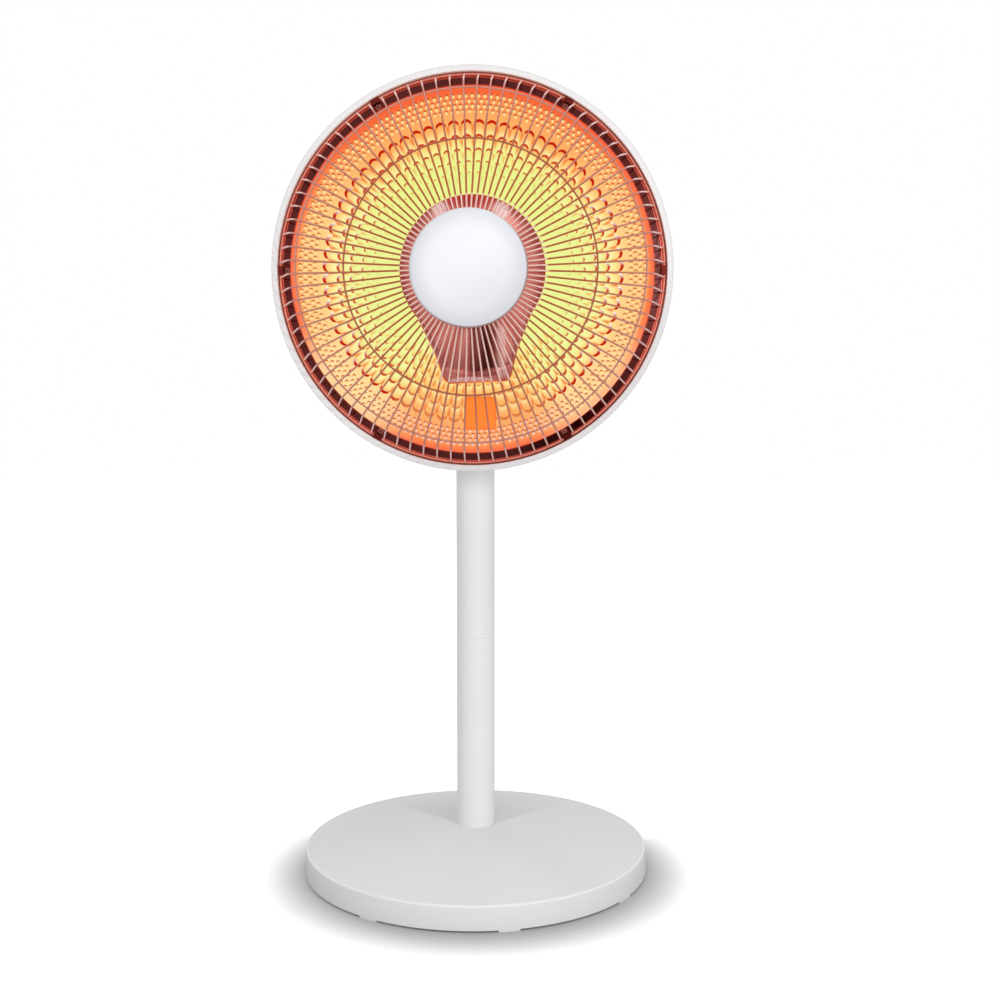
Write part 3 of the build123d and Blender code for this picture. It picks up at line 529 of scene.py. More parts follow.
def guard_wire_metal():
    """Rose plated wire, deeper in tone by painted shade where the dish's glow is behind it."""
    material, tree = new_material("guard_wire")
    place = use_group(tree, polar)
    made = use_group(tree, polish, Roughness=0.42, Stretch=1.0, Colour=(1, 1, 1, 1))
    across = abs(place["Across"] - 3.0)
    up = place["Up"] + 2.2
    stem_half = calc("MAXIMUM", up * 0.238 + 51.2, up * 0.418 + 63.8)
    stem = fade(across - stem_half, -0.4, -1.4) * fade(up, 0.0, -3.0) * fade(up, -93.5, -91.5)
    shield = calc("MAXIMUM", stem, fade(length(across, up), 61.2, 59.7))
    over_dish = fade(place["Radius"], 153.5, 150.0) * (1.0 - shield)
    # Painted shade, tinted by the glow, where the wire lies over the dish.
    painted_glow_shade = mix(fade(place["Radius"], 85.0, 148.0), paint(190, 104, 72), paint(214, 150, 138))
    tone = mix(over_dish, paint(244, 208, 202), painted_glow_shade)
    return coat(material, Base_Color=mix(1.0, tone, made["Colour"], "MULTIPLY"), Roughness=made["Roughness"],
                Metallic=1.0)


def shield_mirror():
    """Polished rose metal with painted reflections: deep round its edge, pale by the cap and on its lip,
    streaked down its neck.
    """
    material, tree = new_material("shield_mirror")
    place = use_group(tree, polar)
    across, up = place["Across"], place["Up"]
    made = use_group(tree, polish, Roughness=0.12, Stretch=9.0, Colour=paint(208, 124, 116))
    # Painted reflections: dark round the edge and red at the top.
    edge = fade(place["Radius"], 52.0, 59.5) * fade(up, -42.0, -12.0)
    tone = mix(edge * 0.7, made["Colour"], paint(150, 50, 58))
    tone = mix(fade(up, 46.0, 56.0) * 0.6, tone, paint(208, 66, 68))
    # Painted reflections of pale patches beside the cap.
    for middle_across, middle_up, size in ((-27.0, 49.0, 9.0), (24.0, 48.0, 10.0)):
        reach = length(across - middle_across, up - middle_up)
        tone = mix(fade(reach, size, size * 0.35) * 0.75, tone, paint(248, 222, 220))
    # Painted reflections down the neck: a dark streak and a pale streak.
    neck = fade(up, -44.0, -52.0) * fade(up, -93.0, -86.0)
    tone = mix(fade(abs(across - 8.5), 13.5, 8.0) * neck * 0.62, tone, paint(84, 24, 22))
    tone = mix(fade(abs(across - 24.0), 5.2, 2.4) * neck * 0.75, tone, paint(232, 190, 184))
    # Painted reflection of light along the lip at the foot.
    lip = fade(across * across * 0.0080 + up, -89.4, -90.2) * fade(up, -95.1, -94.3)
    return coat(material, (made["Height"], 0.05, 0.05 * mm), Base_Color=mix(lip, tone, paint(240, 190, 186)),
                Roughness=made["Roughness"], Metallic=1.0)


def cap_moulding():
    """The cap's pale satin face with painted shade: greyer at its edge and to the lower right, with a fine
    rose line of painted shadow at its edge.
    """
    material, tree = new_material("cap_moulding")
    place = use_group(tree, polar)
    made = use_group(tree, grain, Scale=700.0, Roughness=0.34, Variation=0.01, Colour=paint(243, 244, 248))
    # Painted shade, greyer towards the edge and the lower right.
    tone = mix(fade(place["Radius"], 30.0, 48.8) * 0.7, made["Colour"], paint(212, 214, 221))
    slant = place["Across"] - place["Up"]
    tone = mix(fade(slant, -20.0, 66.0) * 0.35, tone, paint(196, 196, 202))
    # Painted shadow as a fine rose line round the edge at the lower right.
    line = fade(place["Radius"], 46.9, 47.5) * fade(slant, -30.0, 30.0)
    return coat(material, Base_Color=mix(line * 0.8, tone, paint(150, 104, 106)), Roughness=made["Roughness"],
                Coat_Weight=0.12, Coat_Roughness=0.15)


def hoop_metal():
    """The hoop's rose plating, with painted shade brown on its outer side."""
    material, tree = new_material("hoop_metal")
    made = use_group(tree, polish, Colour=paint(238, 142, 126), Roughness=0.3, Stretch=1.0)
    # Painted shade, brown on the hoop's outer side.
    outer = fade(use_group(tree, polar)["Radius"], 163.2, 164.0)
    return coat(material, Base_Color=mix(outer, made["Colour"], paint(142, 86, 78)),
                Roughness=made["Roughness"], Metallic=1.0)


def wire_shades(place, lean):
    """A place's share of the way from one wire to the next, along slanted lines."""
    return calc("FRACT", place["Angle"] * (wire_count / full_turn) + wire_count + place["Radius"] * lean)


def trim_mirror_metal():
    """The trim's mirror, painted dark as a reflection: painted warm glow along both edges, painted shade
    brown at its rim, and faint painted reflected triangles at the right.
    """
    material, tree = new_material("trim_painted_dark_reflection")
    place = use_group(tree, polar)
    radius = place["Radius"]
    # The dark base colour is a painted dark reflection.
    made = use_group(tree, polish, Colour=paint(84, 27, 23), Roughness=0.14)
    # Painted reflections of faint pale triangles at the right.
    right = fade(abs(place["Angle"] - math.radians(90)), 0.26, 0.16)
    pale = right * fade(wire_shades(place, 0.16), 0.42, 0.5)
    tone = mix(pale * 0.07, made["Colour"], paint(196, 160, 166))
    # Painted warm glow along both edges.
    warm = calc("MAXIMUM", fade(radius, 160.6, 161.3), fade(radius, 155.3, 154.9))
    tone = mix(warm, tone, paint(228, 100, 84))
    # Painted shade in the gap at the trim's rim.
    tone = mix(fade(radius, 164.2, 164.8), tone, paint(150, 96, 86))
    return coat(material, (made["Height"], 0.05, 0.05 * mm), Base_Color=tone, Roughness=made["Roughness"],
                Metallic=1.0, Coat_Weight=0.2, Coat_Roughness=0.08)


def rim_plastic():
    """The shell's white plastic with painted shade: a grey outer edge, a greyer lower side, faint slanted
    wire shadows, and painted warm glow on its inner wall.
    """
    material, tree = new_material("rim_plastic")
    place = use_group(tree, polar, Centre=head_centre)
    radius, angle, forward = place["Radius"], place["Angle"], place["Forward"]
    made = use_group(tree, grain, Scale=900.0, Colour=paint(240, 239, 240), Roughness=0.55, Variation=0.01)
    front = fade(forward, -4.0, -2.0)
    wall = fade(radius, 165.8, 165.3) * fade(forward, -0.3, -0.8) * fade(forward, -8.0, -7.0)
    # Painted shadows of the guard wires, slanted, on the lower left of the rim.
    shade = fade(abs(wire_shades(place, -0.12) - 0.5), 0.16, 0.05)
    lower_left = fade(calc("COSINE", angle + math.radians(135)), 0.3, 0.7)
    tone = mix(shade * lower_left * front * 0.35, made["Colour"], paint(205, 200, 200))
    # Painted shade on the lower side of the rim.
    lower = fade(calc("COSINE", angle - math.radians(150)), 0.35, 0.85)
    tone = mix(lower * front * 0.5, tone, paint(212, 208, 209))
    # Painted shade on the rim's rounded outer edge.
    tone = mix(fade(radius, 168.7, 169.8) * 0.5, tone, paint(202, 202, 206))
    # Painted warm glow from the inner wall, which is no lamp.
    return coat(material, Base_Color=tone, Roughness=made["Roughness"], Specular_IOR_Level=0.3,
                Emission_Color=mix(wall, (0, 0, 0, 1), paint(206, 140, 126)), Emission_Strength=0.4)


def base_plastic():
    """The base's white plastic: a painted highlight along its top edge and a painted shadow behind the pole.
    """
    material, tree = new_material("base_plastic")
    made = use_group(tree, grain, Scale=900.0, Colour=paint(236, 235, 236), Roughness=0.40)
    across, back, height = (value * 1000.0 for value in split(coordinates(tree)))
    reach = length(across, back)
    # Painted highlight along the top edge of the base.
    edge = fade(reach, 155.2, 156.2) * fade(height, 20.2, 21.0)
    tone = mix(edge * 0.8, made["Colour"], paint(255, 254, 255))
    # Painted shadow of the pole on the base behind it.
    aside = abs(calc("ARCTAN2", across, back + 31.0))
    behind = fade(aside, math.radians(37), math.radians(32))
    behind = behind * fade(reach, 150.0, 25.0) * fade(back, -12.0, 4.0)
    tone = mix(behind * 0.5, tone, paint(200, 200, 208))
    return coat(material, (made["Height"], 0.1, 0.1 * mm), Base_Color=tone, Roughness=made["Roughness"])


def quartz_glass():
    """Clear quartz with a faint bloom."""
    material, tree = new_material("quartz")
    made = use_group(tree, grain, Scale=300.0, Colour=(1.0, 0.96, 0.9, 1.0), Roughness=0.06)
    return coat(material, Base_Color=made["Colour"], Roughness=made["Roughness"], Transmission_Weight=1.0,
                IOR=1.46)


def hot_carbon():
    """The carbon strip, glowing orange, brighter in some places than others."""
    material, tree = new_material("hot_carbon")
    made = use_group(tree, grain, Scale=260.0, Colour=paint(255, 150, 60), Roughness=0.8, Variation=0.5)
    return coat(material, Base_Color=paint(60, 40, 34), Roughness=made["Roughness"],
                Emission_Color=made["Colour"], Emission_Strength=2.0)


def plate_vinyl():
    """The plate's plain orange vinyl, glowing as if the lamp lit it, and darker along its border."""
    material, tree = new_material("plate_vinyl")
    place = use_group(tree, polar)
    made = use_group(tree, grain, Scale=700.0, Colour=paint(246, 130, 44), Roughness=0.4)
    aside = abs(place["Across"] - plate_middle / mm) - plate_width / 2 / mm
    rise = abs(place["Up"] - (plate_top - plate_height / 2) / mm) - plate_height / 2 / mm
    border = fade(calc("MAXIMUM", aside, rise), -1.3, -0.8)
    return coat(material, Base_Color=paint(190, 84, 30), Roughness=made["Roughness"],
                Emission_Color=mix(border * 0.7, made["Colour"], paint(206, 84, 30)), Emission_Strength=0.8)


finishes = {
    "white_plastic": grained_plastic("white_plastic", paint(236, 235, 236), 0.40, strength=0.12),
    "white_paint": grained_plastic("white_paint", paint(232, 232, 232), 0.34, scale=500.0, strength=0.08),
    "cap_white": cap_moulding(),
    "rose_metal": polished_metal("rose_metal", paint(160, 66, 62), 0.2),
    "shield": shield_mirror(),
    "trim": trim_mirror_metal(),
    "hoop": hoop_metal(),
    "clip": polished_metal("clip_bronze", paint(104, 36, 32), 0.2),
    "screw": polished_metal("screw_bronze", paint(150, 92, 84), 0.22),
    "knob": grained_plastic("knob_grey", paint(188, 190, 195), 0.36, strength=0.1),
    "rim": rim_plastic(),
    "base": base_plastic(),
    "pole": grained_plastic("pole_paint", paint(238, 238, 238), 0.34, scale=500.0, strength=0.06),
    "plate": plate_vinyl(),
    "dish_metal": glowing_dish(),
    "guard_wire": guard_wire_metal(),
    "steel": polished_metal("steel", paint(206, 200, 192), 0.16),
    "iron": grained_plastic("cast_iron", paint(74, 74, 78), 0.7, scale=350.0, strength=0.6, Metallic=0.6),
    "quartz": quartz_glass(),
    "carbon": hot_carbon(),
    "ceramic": grained_plastic("ceramic", paint(238, 234, 224), 0.55, scale=600.0, strength=0.15),
    "dark_plastic": grained_plastic("dark_plastic", paint(52, 52, 56), 0.5),
    "rubber": grained_plastic("rubber", paint(66, 66, 68), 0.75, scale=500.0, strength=0.35),
    "brass": polished_metal("brass", paint(214, 178, 104), 0.25),
}


# Mesh helpers: head pieces are drawn in their own frame, with the origin at the middle of the rim

def head_point(across, up, forward):
    """A point of a head piece."""
    return Vector((across, -forward, up))


def polar_point(radius, angle, forward):
    """A point of a head piece by its angle from 12 o'clock."""
    return head_point(radius * math.sin(angle), radius * math.cos(angle), forward)


def angles(steps):
    """Even angles round a full turn."""
    return [full_turn * step / steps for step in range(steps)]


def finish_mesh(name, vertices, faces, body, look, at=(0, 0, 0), sharp=None):
    """Make a piece of these vertices and faces, ride it on its body and give it its finish."""
    mesh = bpy.data.meshes.new(name)
    mesh.from_pydata(vertices, [], faces)
    work = bmesh.new()
    work.from_mesh(mesh)
    bmesh.ops.recalc_face_normals(work, faces=work.faces)
    work.to_mesh(mesh)
    work.free()
    mesh.polygons.foreach_set("use_smooth", [True] * len(mesh.polygons))
    if sharp:
        mesh.set_sharp_from_angle(angle=math.radians(sharp))
    piece = bpy.data.objects.new(name, mesh)
    bpy.context.scene.collection.objects.link(piece)
    piece.location = at
    mesh.materials.append(finishes[look])
    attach(piece, body)
    return piece


def sheet_of(rows, around=True, closed=False):
    """Vertices and quads of rows of points: each row meets itself if around, the last the first if closed."""
    width = len(rows[0])
    faces = []
    for row in range(len(rows) if closed else len(rows) - 1):
        here, there = row * width, (row + 1) % len(rows) * width
        for place in range(width if around else width - 1):
            after = (place + 1) % width
            faces.append((here + place, here + after, there + after, there + place))
    return [point for row in rows for point in row], faces


def joined(parts):
    """Several vertex and face lists as one."""
    vertices, faces = [], []
    for part_vertices, part_faces in parts:
        start = len(vertices)
        vertices.extend(part_vertices)
        faces.extend(tuple(index + start for index in face) for face in part_faces)
    return vertices, faces


def lathe(profile, steps, closed=False):
    """A profile of (radius, forward) points turned about the dish axis."""
    rows = [[polar_point(radius, angle, forward) for angle in angles(steps)] for radius, forward in profile]
    return sheet_of(rows, closed=closed)


def round_section(radius, forward, wire, sides=16):
    """The section of a ring of round wire."""
    return [(radius + wire * math.cos(turn), forward + wire * math.sin(turn)) for turn in angles(sides)]


def rounded_path(points, reach, steps):
    """A path with each inner corner turned into a smooth bend that starts this far before it."""
    points = [Vector(point) for point in points]
    path = [points[0]]
    for before, corner, after in zip(points, points[1:], points[2:]):
        near = min(reach, (before - corner).length / 2)
        far = min(reach, (after - corner).length / 2)
        start = corner + (before - corner).normalized() * near
        end = corner + (after - corner).normalized() * far
        for step in range(steps + 1):
            share = step / steps
            path.append(start * (1 - share) ** 2 + corner * 2 * share * (1 - share) + end * share**2)
    path.append(points[-1])
    return path


def tube(path, side, radius, sides=10):
    """A closed round tube along a flat path whose plane is square to side."""
    rows = []
    for place, point in enumerate(path):
        tangent = (path[min(place + 1, len(path) - 1)] - path[max(place - 1, 0)]).normalized()
        other = tangent.cross(side).normalized()
        rows.append([point + side * (radius * math.cos(turn)) + other * (radius * math.sin(turn))
                     for turn in angles(sides)])
    vertices, faces = sheet_of(rows)
    faces.append(tuple(range(sides)))
    faces.append(tuple((len(path) - 1) * sides + turn for turn in range(sides)))
    return vertices, faces


# Guard

def guard_wires():
    """The hub disc and its round wires, bent back to the hoop at their ends."""
    parts = []
    for index in range(wire_count):
        angle = full_turn * (index + 0.5) / wire_count
        side = Vector((math.cos(angle), 0, -math.sin(angle)))
        points = [polar_point(radius, angle, forward)
                  for radius, forward in (wire_start, middle_ring, outer_ring, wire_bend, wire_end)]
        points[0] += hub_sag
        points[1] += middle_ring_sag
        parts.append(tube(rounded_path(points, wire_bend_reach, 6), side, wire_radius))
    back = wire_start[1] - wire_radius - hub_thickness / 2
    front = back + hub_thickness
    vertices, faces = lathe([(hub_hole_radius, back), (hub_radius, back), (hub_radius, front),
                             (hub_hole_radius, front)], 96, closed=True)
    parts.append(([point + hub_sag for point in vertices], faces))
    piece = finish_mesh("guard_wires", *joined(parts), "head", "guard_wire", head_centre, sharp=40)
    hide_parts("wire_guard")


def guard_rings():
    """The two rings behind the wires and the thick hoop that carries their ends."""
    level = Vector((0, 0, 0))
    behind = 2 * wire_radius + weld_gap
    for name, node, radius, forward, wire, sag, look in (
        ("middle_ring", "middle_guard_ring", middle_ring[0] - wire_radius, middle_ring[1] - behind,
         wire_radius, middle_ring_sag, "guard_wire"),
        ("outer_ring", "outer_guard_ring", outer_ring[0] - wire_radius, outer_ring[1] - behind,
         wire_radius, level, "guard_wire"),
        ("hoop", "guard_hoop", hoop_radius, hoop_middle, hoop_wire_radius, level, "hoop"),
    ):
        piece = finish_mesh(name, *lathe(round_section(radius, forward, wire), 240, closed=True),
                            "head", look, head_centre + sag)
        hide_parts(node)


def cap_piece():
    """The white cap: a shallow dome that rolls over into a short skirt."""
    low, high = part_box("guard_cap")
    radius = (high.x - low.x) / 2
    apex = head_centre.y - low.y
    skirt = head_centre.y - high.y + cap_skirt_lift
    outer = [(radius - cap_wall, skirt), (radius, skirt), (radius, apex - cap_rise)]
    for step in range(1, 9):
        angle = math.radians(10 * step)
        outer.append((radius - cap_roll * (1 - math.cos(angle)),
                      apex - cap_rise + cap_roll * math.sin(angle)))
    shoulder_radius, shoulder = outer[-1]
    for step in range(1, 25):
        share = 1 - step / 24
        outer.append((max(shoulder_radius * share, cap_eye_radius), apex - (apex - shoulder) * share**2))
    inner = [(cap_eye_radius, apex - cap_wall), (radius - 5 * mm, apex - 6.4 * mm),
             (radius - cap_wall, apex - 9.6 * mm)]
    piece = finish_mesh("domed_cap", *lathe(outer + inner, 120, closed=True), "head", "cap_white",
                        head_centre + hub_sag, sharp=40)
    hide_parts("guard_cap")


# Dish

def dish_forward(radius):
    """How far forward of the rim the plain dish surface lies."""
    return dish_flange - dish_depth * (1 - (radius / dish_radius) ** 2)


def soft_step(value):
    """0 to 1 with a smooth start and end."""
    value = max(0.0, min(1.0, value))
    return value * value * (3 - 2 * value)


def pad_height(radius, angle):
    """The pressed rows: each pad rises towards its arch and drops off past it."""
    cell = (angle * facet_count / full_turn) % 1 - 0.5
    place = radius + arch_bow * 4 * cell * cell
    for outer, inner in zip(arch_edges, arch_edges[1:]):
        if inner < place <= outer:
            share = (place - inner) / (outer - inner)
            drop = soft_step((outer - place) / pad_drop_width)
            return pad_rise * share * drop * (1 - 0.5 * (2 * cell) ** 2)
    return 0.0


def dimple_sink(radius, angle):
    """The pressed dimples in the band outside the rows."""
    row = round((radius - dimple_first_radius) / dimple_pitch)
    if not 0 <= row < dimple_rows:
        return 0.0
    outward = radius - dimple_first_radius - row * dimple_pitch
    cell = (angle * dimple_count / full_turn + 0.5 * row) % 1 - 0.5
    away = math.hypot(outward, cell * full_turn / dimple_count * radius) / dimple_radius
    return dimple_depth * (1 - soft_step(away)) if away < 1 else 0.0


def dish_piece():
    """The pressed dish with its flat flange, dimple band and rows of scalloped pads."""
    outer_angles = angles(dimple_count * 6)
    places = [relief_split_radius + (dish_radius - relief_split_radius) * step / 32 for step in range(33)]
    outer_rows = [[polar_point(radius, angle, dish_forward(radius) - dimple_sink(radius, angle))
                   for angle in outer_angles] for radius in places]
    flange_front = dish_flange + dish_sheet
    for radius, forward in ((dish_radius, flange_front), (flange_radius, flange_front),
                            (flange_radius, dish_flange)):
        outer_rows.append([polar_point(radius, angle, forward) for angle in outer_angles])
    inner_angles = angles(facet_count * 12)
    inner_rows = []
    radius = relief_split_radius
    while radius > dish_floor_radius:
        inner_rows.append([polar_point(radius, angle, dish_forward(radius) + pad_height(radius, angle))
                           for angle in inner_angles])
        radius -= dish_fine_step if radius > arch_edges[-1] - 1 * mm else dish_coarse_step
    floor = dish_forward(dish_floor_radius)
    for radius in (dish_floor_radius, 0.5 * dish_floor_radius, dish_eye_radius):
        inner_rows.append([polar_point(radius, angle, floor) for angle in inner_angles])
    back = [(flange_radius, dish_flange)]
    back += [(radius, dish_forward(radius) - dish_sheet) for radius in
             (dish_radius * (1 - step / 24) for step in range(24)) if radius > dish_floor_radius]
    back += [(dish_floor_radius, floor - dish_sheet), (dish_eye_radius, floor - dish_sheet)]
    vertices, faces = joined([sheet_of(outer_rows), sheet_of(inner_rows), lathe(back, 144)])
    piece = finish_mesh("pressed_dish", vertices, faces, "head", "dish_metal", head_centre, sharp=50)
    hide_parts("reflector")


def trim_piece():
    """The dark mirror ring round the dish."""
    lip = trim_inner_radius
    floor = dish_flange + dish_sheet
    profile = [(trim_outer_radius, floor), (trim_outer_radius, trim_front),
               (lip + trim_lip_radius, trim_front), (lip, trim_front - trim_lip_radius), (lip, floor)]
    vertices, faces = lathe(profile, 240, closed=True)
    piece = finish_mesh("trim_mirror", vertices, faces, "head", "trim", head_centre, sharp=35)
    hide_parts("trim_ring")


# Shield

def shield_edge_line(steps=56):
    """The bulb outline as points round the shield, clockwise from the top."""
    side = math.pi / 2 + shield_neck_angle
    turns = [side * step / steps for step in range(steps + 1)]
    right = [(shield_radius * math.sin(angle), shield_radius * math.cos(angle)) for angle in turns]
    corner_path = rounded_path(
        [(*right[-1], 0), (shield_neck[0], -shield_neck[1], 0), (shield_stem[0], -shield_stem[1], 0),
         (0, -shield_stem[1], 0)], shield_corner, 8,
    )
    right += [(point.x, point.y) for point in corner_path[1:]]
    spaced = [right[0]]
    for start, end in zip(right, right[1:]):
        across, up = end[0] - start[0], end[1] - start[1]
        pieces = max(1, round(math.hypot(across, up) / (3 * mm)))
        spaced += [(start[0] + across * step / pieces, start[1] + up * step / pieces)
                   for step in range(1, pieces + 1)]
    return spaced + [(-x, y) for x, y in spaced[-2:0:-1]]


def inset_line(outline, amount):
    """The outline drawn in by this much, square to itself."""
    moved = []
    for place, point in enumerate(outline):
        before = outline[place - 1]
        after = outline[(place + 1) % len(outline)]
        along = Vector((after[0] - before[0], after[1] - before[1])).normalized()
        moved.append((point[0] + along.y * amount, point[1] - along.x * amount))
    return moved


def shield_bow(x, y):
    """How far the shield's front lies behind its foremost place."""
    lip = max(0.0, -y - shield_stem[1] + shield_lip + shield_lip_bow * x * x)
    return shield_across_bow * x * x + shield_along_bow * y * y - shield_crown + shield_lip_slope * lip


def shield_piece():
    """The mirror shield: a rounded edge, a front bowed across its width and a lip along the foot."""
    outline = shield_edge_line()
    back = shield_front - shield_depth
    drawn_in = inset_line(outline, shield_back_inset)
    rows = [[head_point(x, y, back) for x, y in line] for line in (drawn_in, outline)]
    for step in range(7):
        angle = math.radians(90 * step / 6)
        drop = shield_edge * (1 - math.sin(angle))
        rows.append([head_point(x, y, shield_front - shield_bow(x, y) - drop)
                     for x, y in inset_line(outline, shield_edge * (1 - math.cos(angle)))])
    inner = inset_line(outline, shield_edge)
    for step in range(1, 25):
        share = 1 - step / 24 * 0.999
        line = [(x * share, shield_middle + (y - shield_middle) * share) for x, y in inner]
        rows.append([head_point(x, y, shield_front - shield_bow(x, y)) for x, y in line])
    lean = Matrix.Rotation(shield_lean, 3, "Y").transposed()
    vertices, faces = sheet_of([[lean @ point for point in row] for row in rows])
    piece = finish_mesh("lamp_mirror", vertices, faces, "head", "shield", head_centre + shield_shift,
                        sharp=60)
    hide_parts("lamp_shield")


# Lamp

def lamp_line():
    """The lamp's centre line as points: leg, bend, ring, bend, leg."""
    reach = lamp_ring_radius + lamp_bend_radius
    bend_x = lamp_leg_offset + lamp_bend_radius
    bend_drop = math.sqrt(reach**2 - bend_x**2)
    ring_angle = math.atan2(bend_x, -bend_drop)
    turns = [ring_angle * step / 40 for step in range(41)]
    right = [(lamp_ring_radius * math.sin(angle), lamp_ring_radius * math.cos(angle)) for angle in turns]
    start = math.atan2(right[-1][1] + bend_drop, right[-1][0] - bend_x)
    for step in range(1, 11):
        angle = start + (math.pi - start) * step / 10
        right.append((bend_x + lamp_bend_radius * math.cos(angle),
                      -bend_drop + lamp_bend_radius * math.sin(angle)))
    right.append((lamp_leg_offset, -lamp_leg_end))
    left = [(-x, y) for x, y in right[:0:-1]]
    return [head_point(x, y, -lamp_setback) for x, y in left + right]


def lamp_piece():
    """The round quartz tube with its bore."""
    path = lamp_line()
    side = Vector((0, 1, 0))
    walls = [tube(path, side, radius, 24) for radius in (lamp_tube_radius, lamp_bore_radius)]
    piece = finish_mesh("quartz_tube", *joined(walls), "head", "quartz", head_centre, sharp=60)
    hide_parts("lamp_tube")


# Small pieces and the pole

def guard_screw_heads():
    """Pan heads with a cross recess on the six clips."""
    low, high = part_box("guard_screws")
    circle = (high.x - low.x) / 2 - screw_radius
    front = head_centre.y - low.y
    parts = []
    for index in range(screw_count):
        angle = full_turn * (index + 0.5) / screw_count
        centre = Vector((circle * math.sin(angle), circle * math.cos(angle)))
        rows = []
        for share, drop in screw_profile:
            reach = screw_radius * share
            row = []
            for turn in angles(48):
                cross = max(0.0, math.cos(2 * (turn - 0.4)) ** 8) if share < 0.7 else 0.0
                slot = screw_recess_depth * soft_step((0.62 - share) / 0.2)
                slot *= max(cross, 1.0 if share < 0.15 else 0.0)
                row.append(head_point(centre.x + reach * math.cos(turn), centre.y + reach * math.sin(turn),
                                      front - (drop + slot) * mm))
            rows.append(row)
        parts.append(sheet_of(rows))
    piece = finish_mesh("clip_screws", *joined(parts), "head", "screw", head_centre, sharp=35)
    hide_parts("guard_screws")


def heat_plate():
    """A blank rectangular sticker on the lower part of the dish."""
    rows = []
    for step in range(plate_steps + 1):
        up = plate_top - plate_height * step / plate_steps
        places = [plate_width * (place / plate_steps - 0.5) + plate_middle
                  for place in range(plate_steps + 1)]
        rows.append([head_point(across, up, dish_forward(math.hypot(across, up)) + plate_lift)
                     for across in places])
    finish_mesh("blank_plate", *sheet_of(rows, around=False), "head", "plate", head_centre)


def pole_tubes():
    """The two painted tubes, with a fine chamfer on each side of their joint."""
    for name, node, foot, top in (("pole_lower", "lower_tube", pole_end_chamfer, pole_joint_chamfer),
                                  ("pole_upper", "upper_tube", pole_joint_chamfer, pole_end_chamfer)):
        low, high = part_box(node)
        radius = (high.x - low.x) / 2
        section = ((radius - pole_wall, low.z), (radius - foot, low.z), (radius, low.z + foot),
                   (radius, high.z - top), (radius - top, high.z), (radius - pole_wall, high.z))
        rows = [[Vector((place * math.cos(turn), place * math.sin(turn), height)) for turn in angles(90)]
                for place, height in section]
        vertices, faces = sheet_of(rows + [rows[0]])
        piece = finish_mesh(name, vertices, faces, "stand", "pole", sharp=35)
        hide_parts(node)


guard_wires()
guard_rings()
dish_piece()
trim_piece()
cap_piece()
pole_tubes()
shield_piece()
lamp_piece()
guard_screw_heads()
heat_plate()


# Finishes of the CAD nodes that stay

own_finishes = {"rear_shell": "rim", "base_shell": "base", "guard_clips": "clip",
                "heat_knob": "knob", "timer_knob": "knob", "swing_knob": "knob"}
for part in frame["record"]["subparts"]:
    mesh = frame["nodes"][part["node"]].data
    mesh.materials.clear()
    mesh.materials.append(finishes[own_finishes.get(part["node"], part["material_slot"])])


# Studio

def flat_panel(name, corners, material):
    """A flat piece of the studio."""
    mesh = bpy.data.meshes.new(name)
    mesh.from_pydata(corners, [], [tuple(range(len(corners)))])
    panel = bpy.data.objects.new(name, mesh)
    bpy.context.scene.collection.objects.link(panel)
    mesh.materials.append(material)
    return panel


def white_surround():
    """A world that is white to the camera, in reflections and through glass, and softer as a light."""
    world = bpy.data.worlds.new("studio")
    bpy.context.scene.world = world
    world.use_nodes = True
    tree = world.node_tree
    seen = light_path(tree, "Is Camera Ray")
    for kind in ("Is Glossy Ray", "Is Transmission Ray"):
        seen = calc("MAXIMUM", seen, light_path(tree, kind))
    background = tree.nodes["Background"]
    background.inputs["Color"].default_value = (1, 1, 1, 1)
    feed(seen * 0.54 + 0.46, background.inputs["Strength"])


def pale_floor():
    """A floor that fades to white a hand's width from the base and keeps a painted shadow close to it."""
    material, tree = new_material("pale_floor")
    across, back = split(coordinates(tree))[:2]
    # Painted shadow round the base: a darker floor colour and no camera glow close to it.
    reach = length(across - shade_across, back + shade_ahead)
    clear = calc("MAXIMUM", fade(reach, shade_start, shade_end), fade(back, 30 * mm, 100 * mm))
    camera_ray = light_path(tree, "Is Camera Ray")
    far_tone = mix(camera_ray, (0.86, 0.86, 0.86, 1), (0.46, 0.46, 0.46, 1))
    coat(material, Base_Color=mix(clear, (0.38, 0.38, 0.38, 1), far_tone), Roughness=0.9,
         Specular_IOR_Level=0.0, Emission_Color=(1, 1, 1, 1), Emission_Strength=camera_ray * clear)
    corners = ((-1, -1, 0), (1, -1, 0), (1, 1, 0), (-1, 1, 0))
    flat_panel("floor", [Vector(corner) * floor_reach for corner in corners], material)


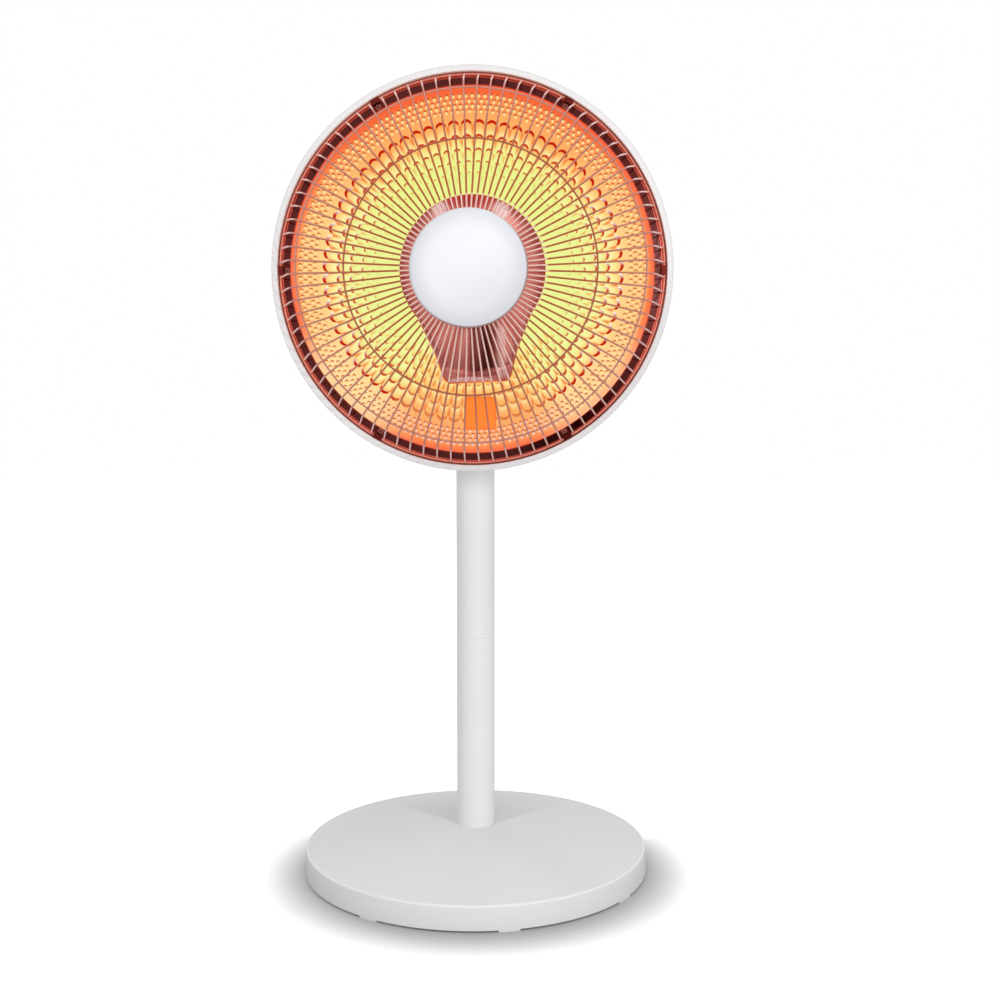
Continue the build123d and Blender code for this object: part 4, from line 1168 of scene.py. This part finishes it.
def reflection_cards():
    """Dark and bright cards in front of the heater that only its polished metal sees."""
    for name, left, right, low, high, strength in (
        ("dark_strip_wide", 0.06, 0.34, 0.02, 0.50, 0.0),
        ("dark_strip_thin", 0.40, 0.50, 0.06, 0.52, 0.0),
        ("dark_strip_left", -0.14, 0.00, 0.02, 0.20, 0.0),
        ("light_strip", 0.56, 0.70, 0.10, 0.62, 1.1),
        ("light_patch_right", 0.66, 1.10, 0.86, 1.20, 3.0),
        ("light_patch_left", -1.15, -0.80, 0.86, 1.10, 3.0),
        ("light_trim_patch", 0.42, 0.56, 0.60, 1.10, 3.0),
    ):
        material, tree = new_material(name)
        straight = calc("LESS_THAN", light_path(tree, "Diffuse Depth"), 0.5)
        coat(material, Base_Color=paint(44, 14, 16), Roughness=1.0, Specular_IOR_Level=0.0,
             Emission_Color=(1, 1, 1, 1), Emission_Strength=straight * strength)
        corners = [(across, -card_distance, height)
                   for across, height in ((left, low), (right, low), (right, high), (left, high))]
        card = flat_panel(name, corners, material)
        card.visible_camera = False
        card.visible_diffuse = False
        card.visible_shadow = False
        card.visible_transmission = False


def soft_lamps():
    """The lamps: two wide ones in front, a key at the right, one above and one behind at the left."""
    for name, place, aim, size, power in (
        ("front", (0.2, -2.5, 0.95), (0, 0, 0.5), (2.6, 0.7), 17.5),
        ("low", (0.3, -2.2, 0.25), (0, 0, 0.6), (1.6, 0.3), 3.5),
        ("key", (1.7, -1.8, 1.2), (0, 0, 0.4), (0.9, 0.9), 7.0),
        ("top", (0.2, -0.6, 2.4), (0, 0, 0.3), (1.2, 1.2), 10.5),
        ("rear", (-1.6, 1.9, 1.3), (0, 0, 0.5), (0.7, 0.7), 9.0),
    ):
        lamp = bpy.data.lights.new(name, "AREA")
        lamp.shape = "RECTANGLE"
        lamp.size, lamp.size_y = size
        lamp.energy = power
        light = bpy.data.objects.new(name, lamp)
        bpy.context.scene.collection.objects.link(light)
        light.location = place
        light.rotation_euler = (Vector(aim) - Vector(place)).to_track_quat("-Z", "Y").to_euler()
        light.visible_glossy = False


white_surround()
pale_floor()
reflection_cards()
soft_lamps()
bpy.context.scene.view_settings.view_transform = "Standard"
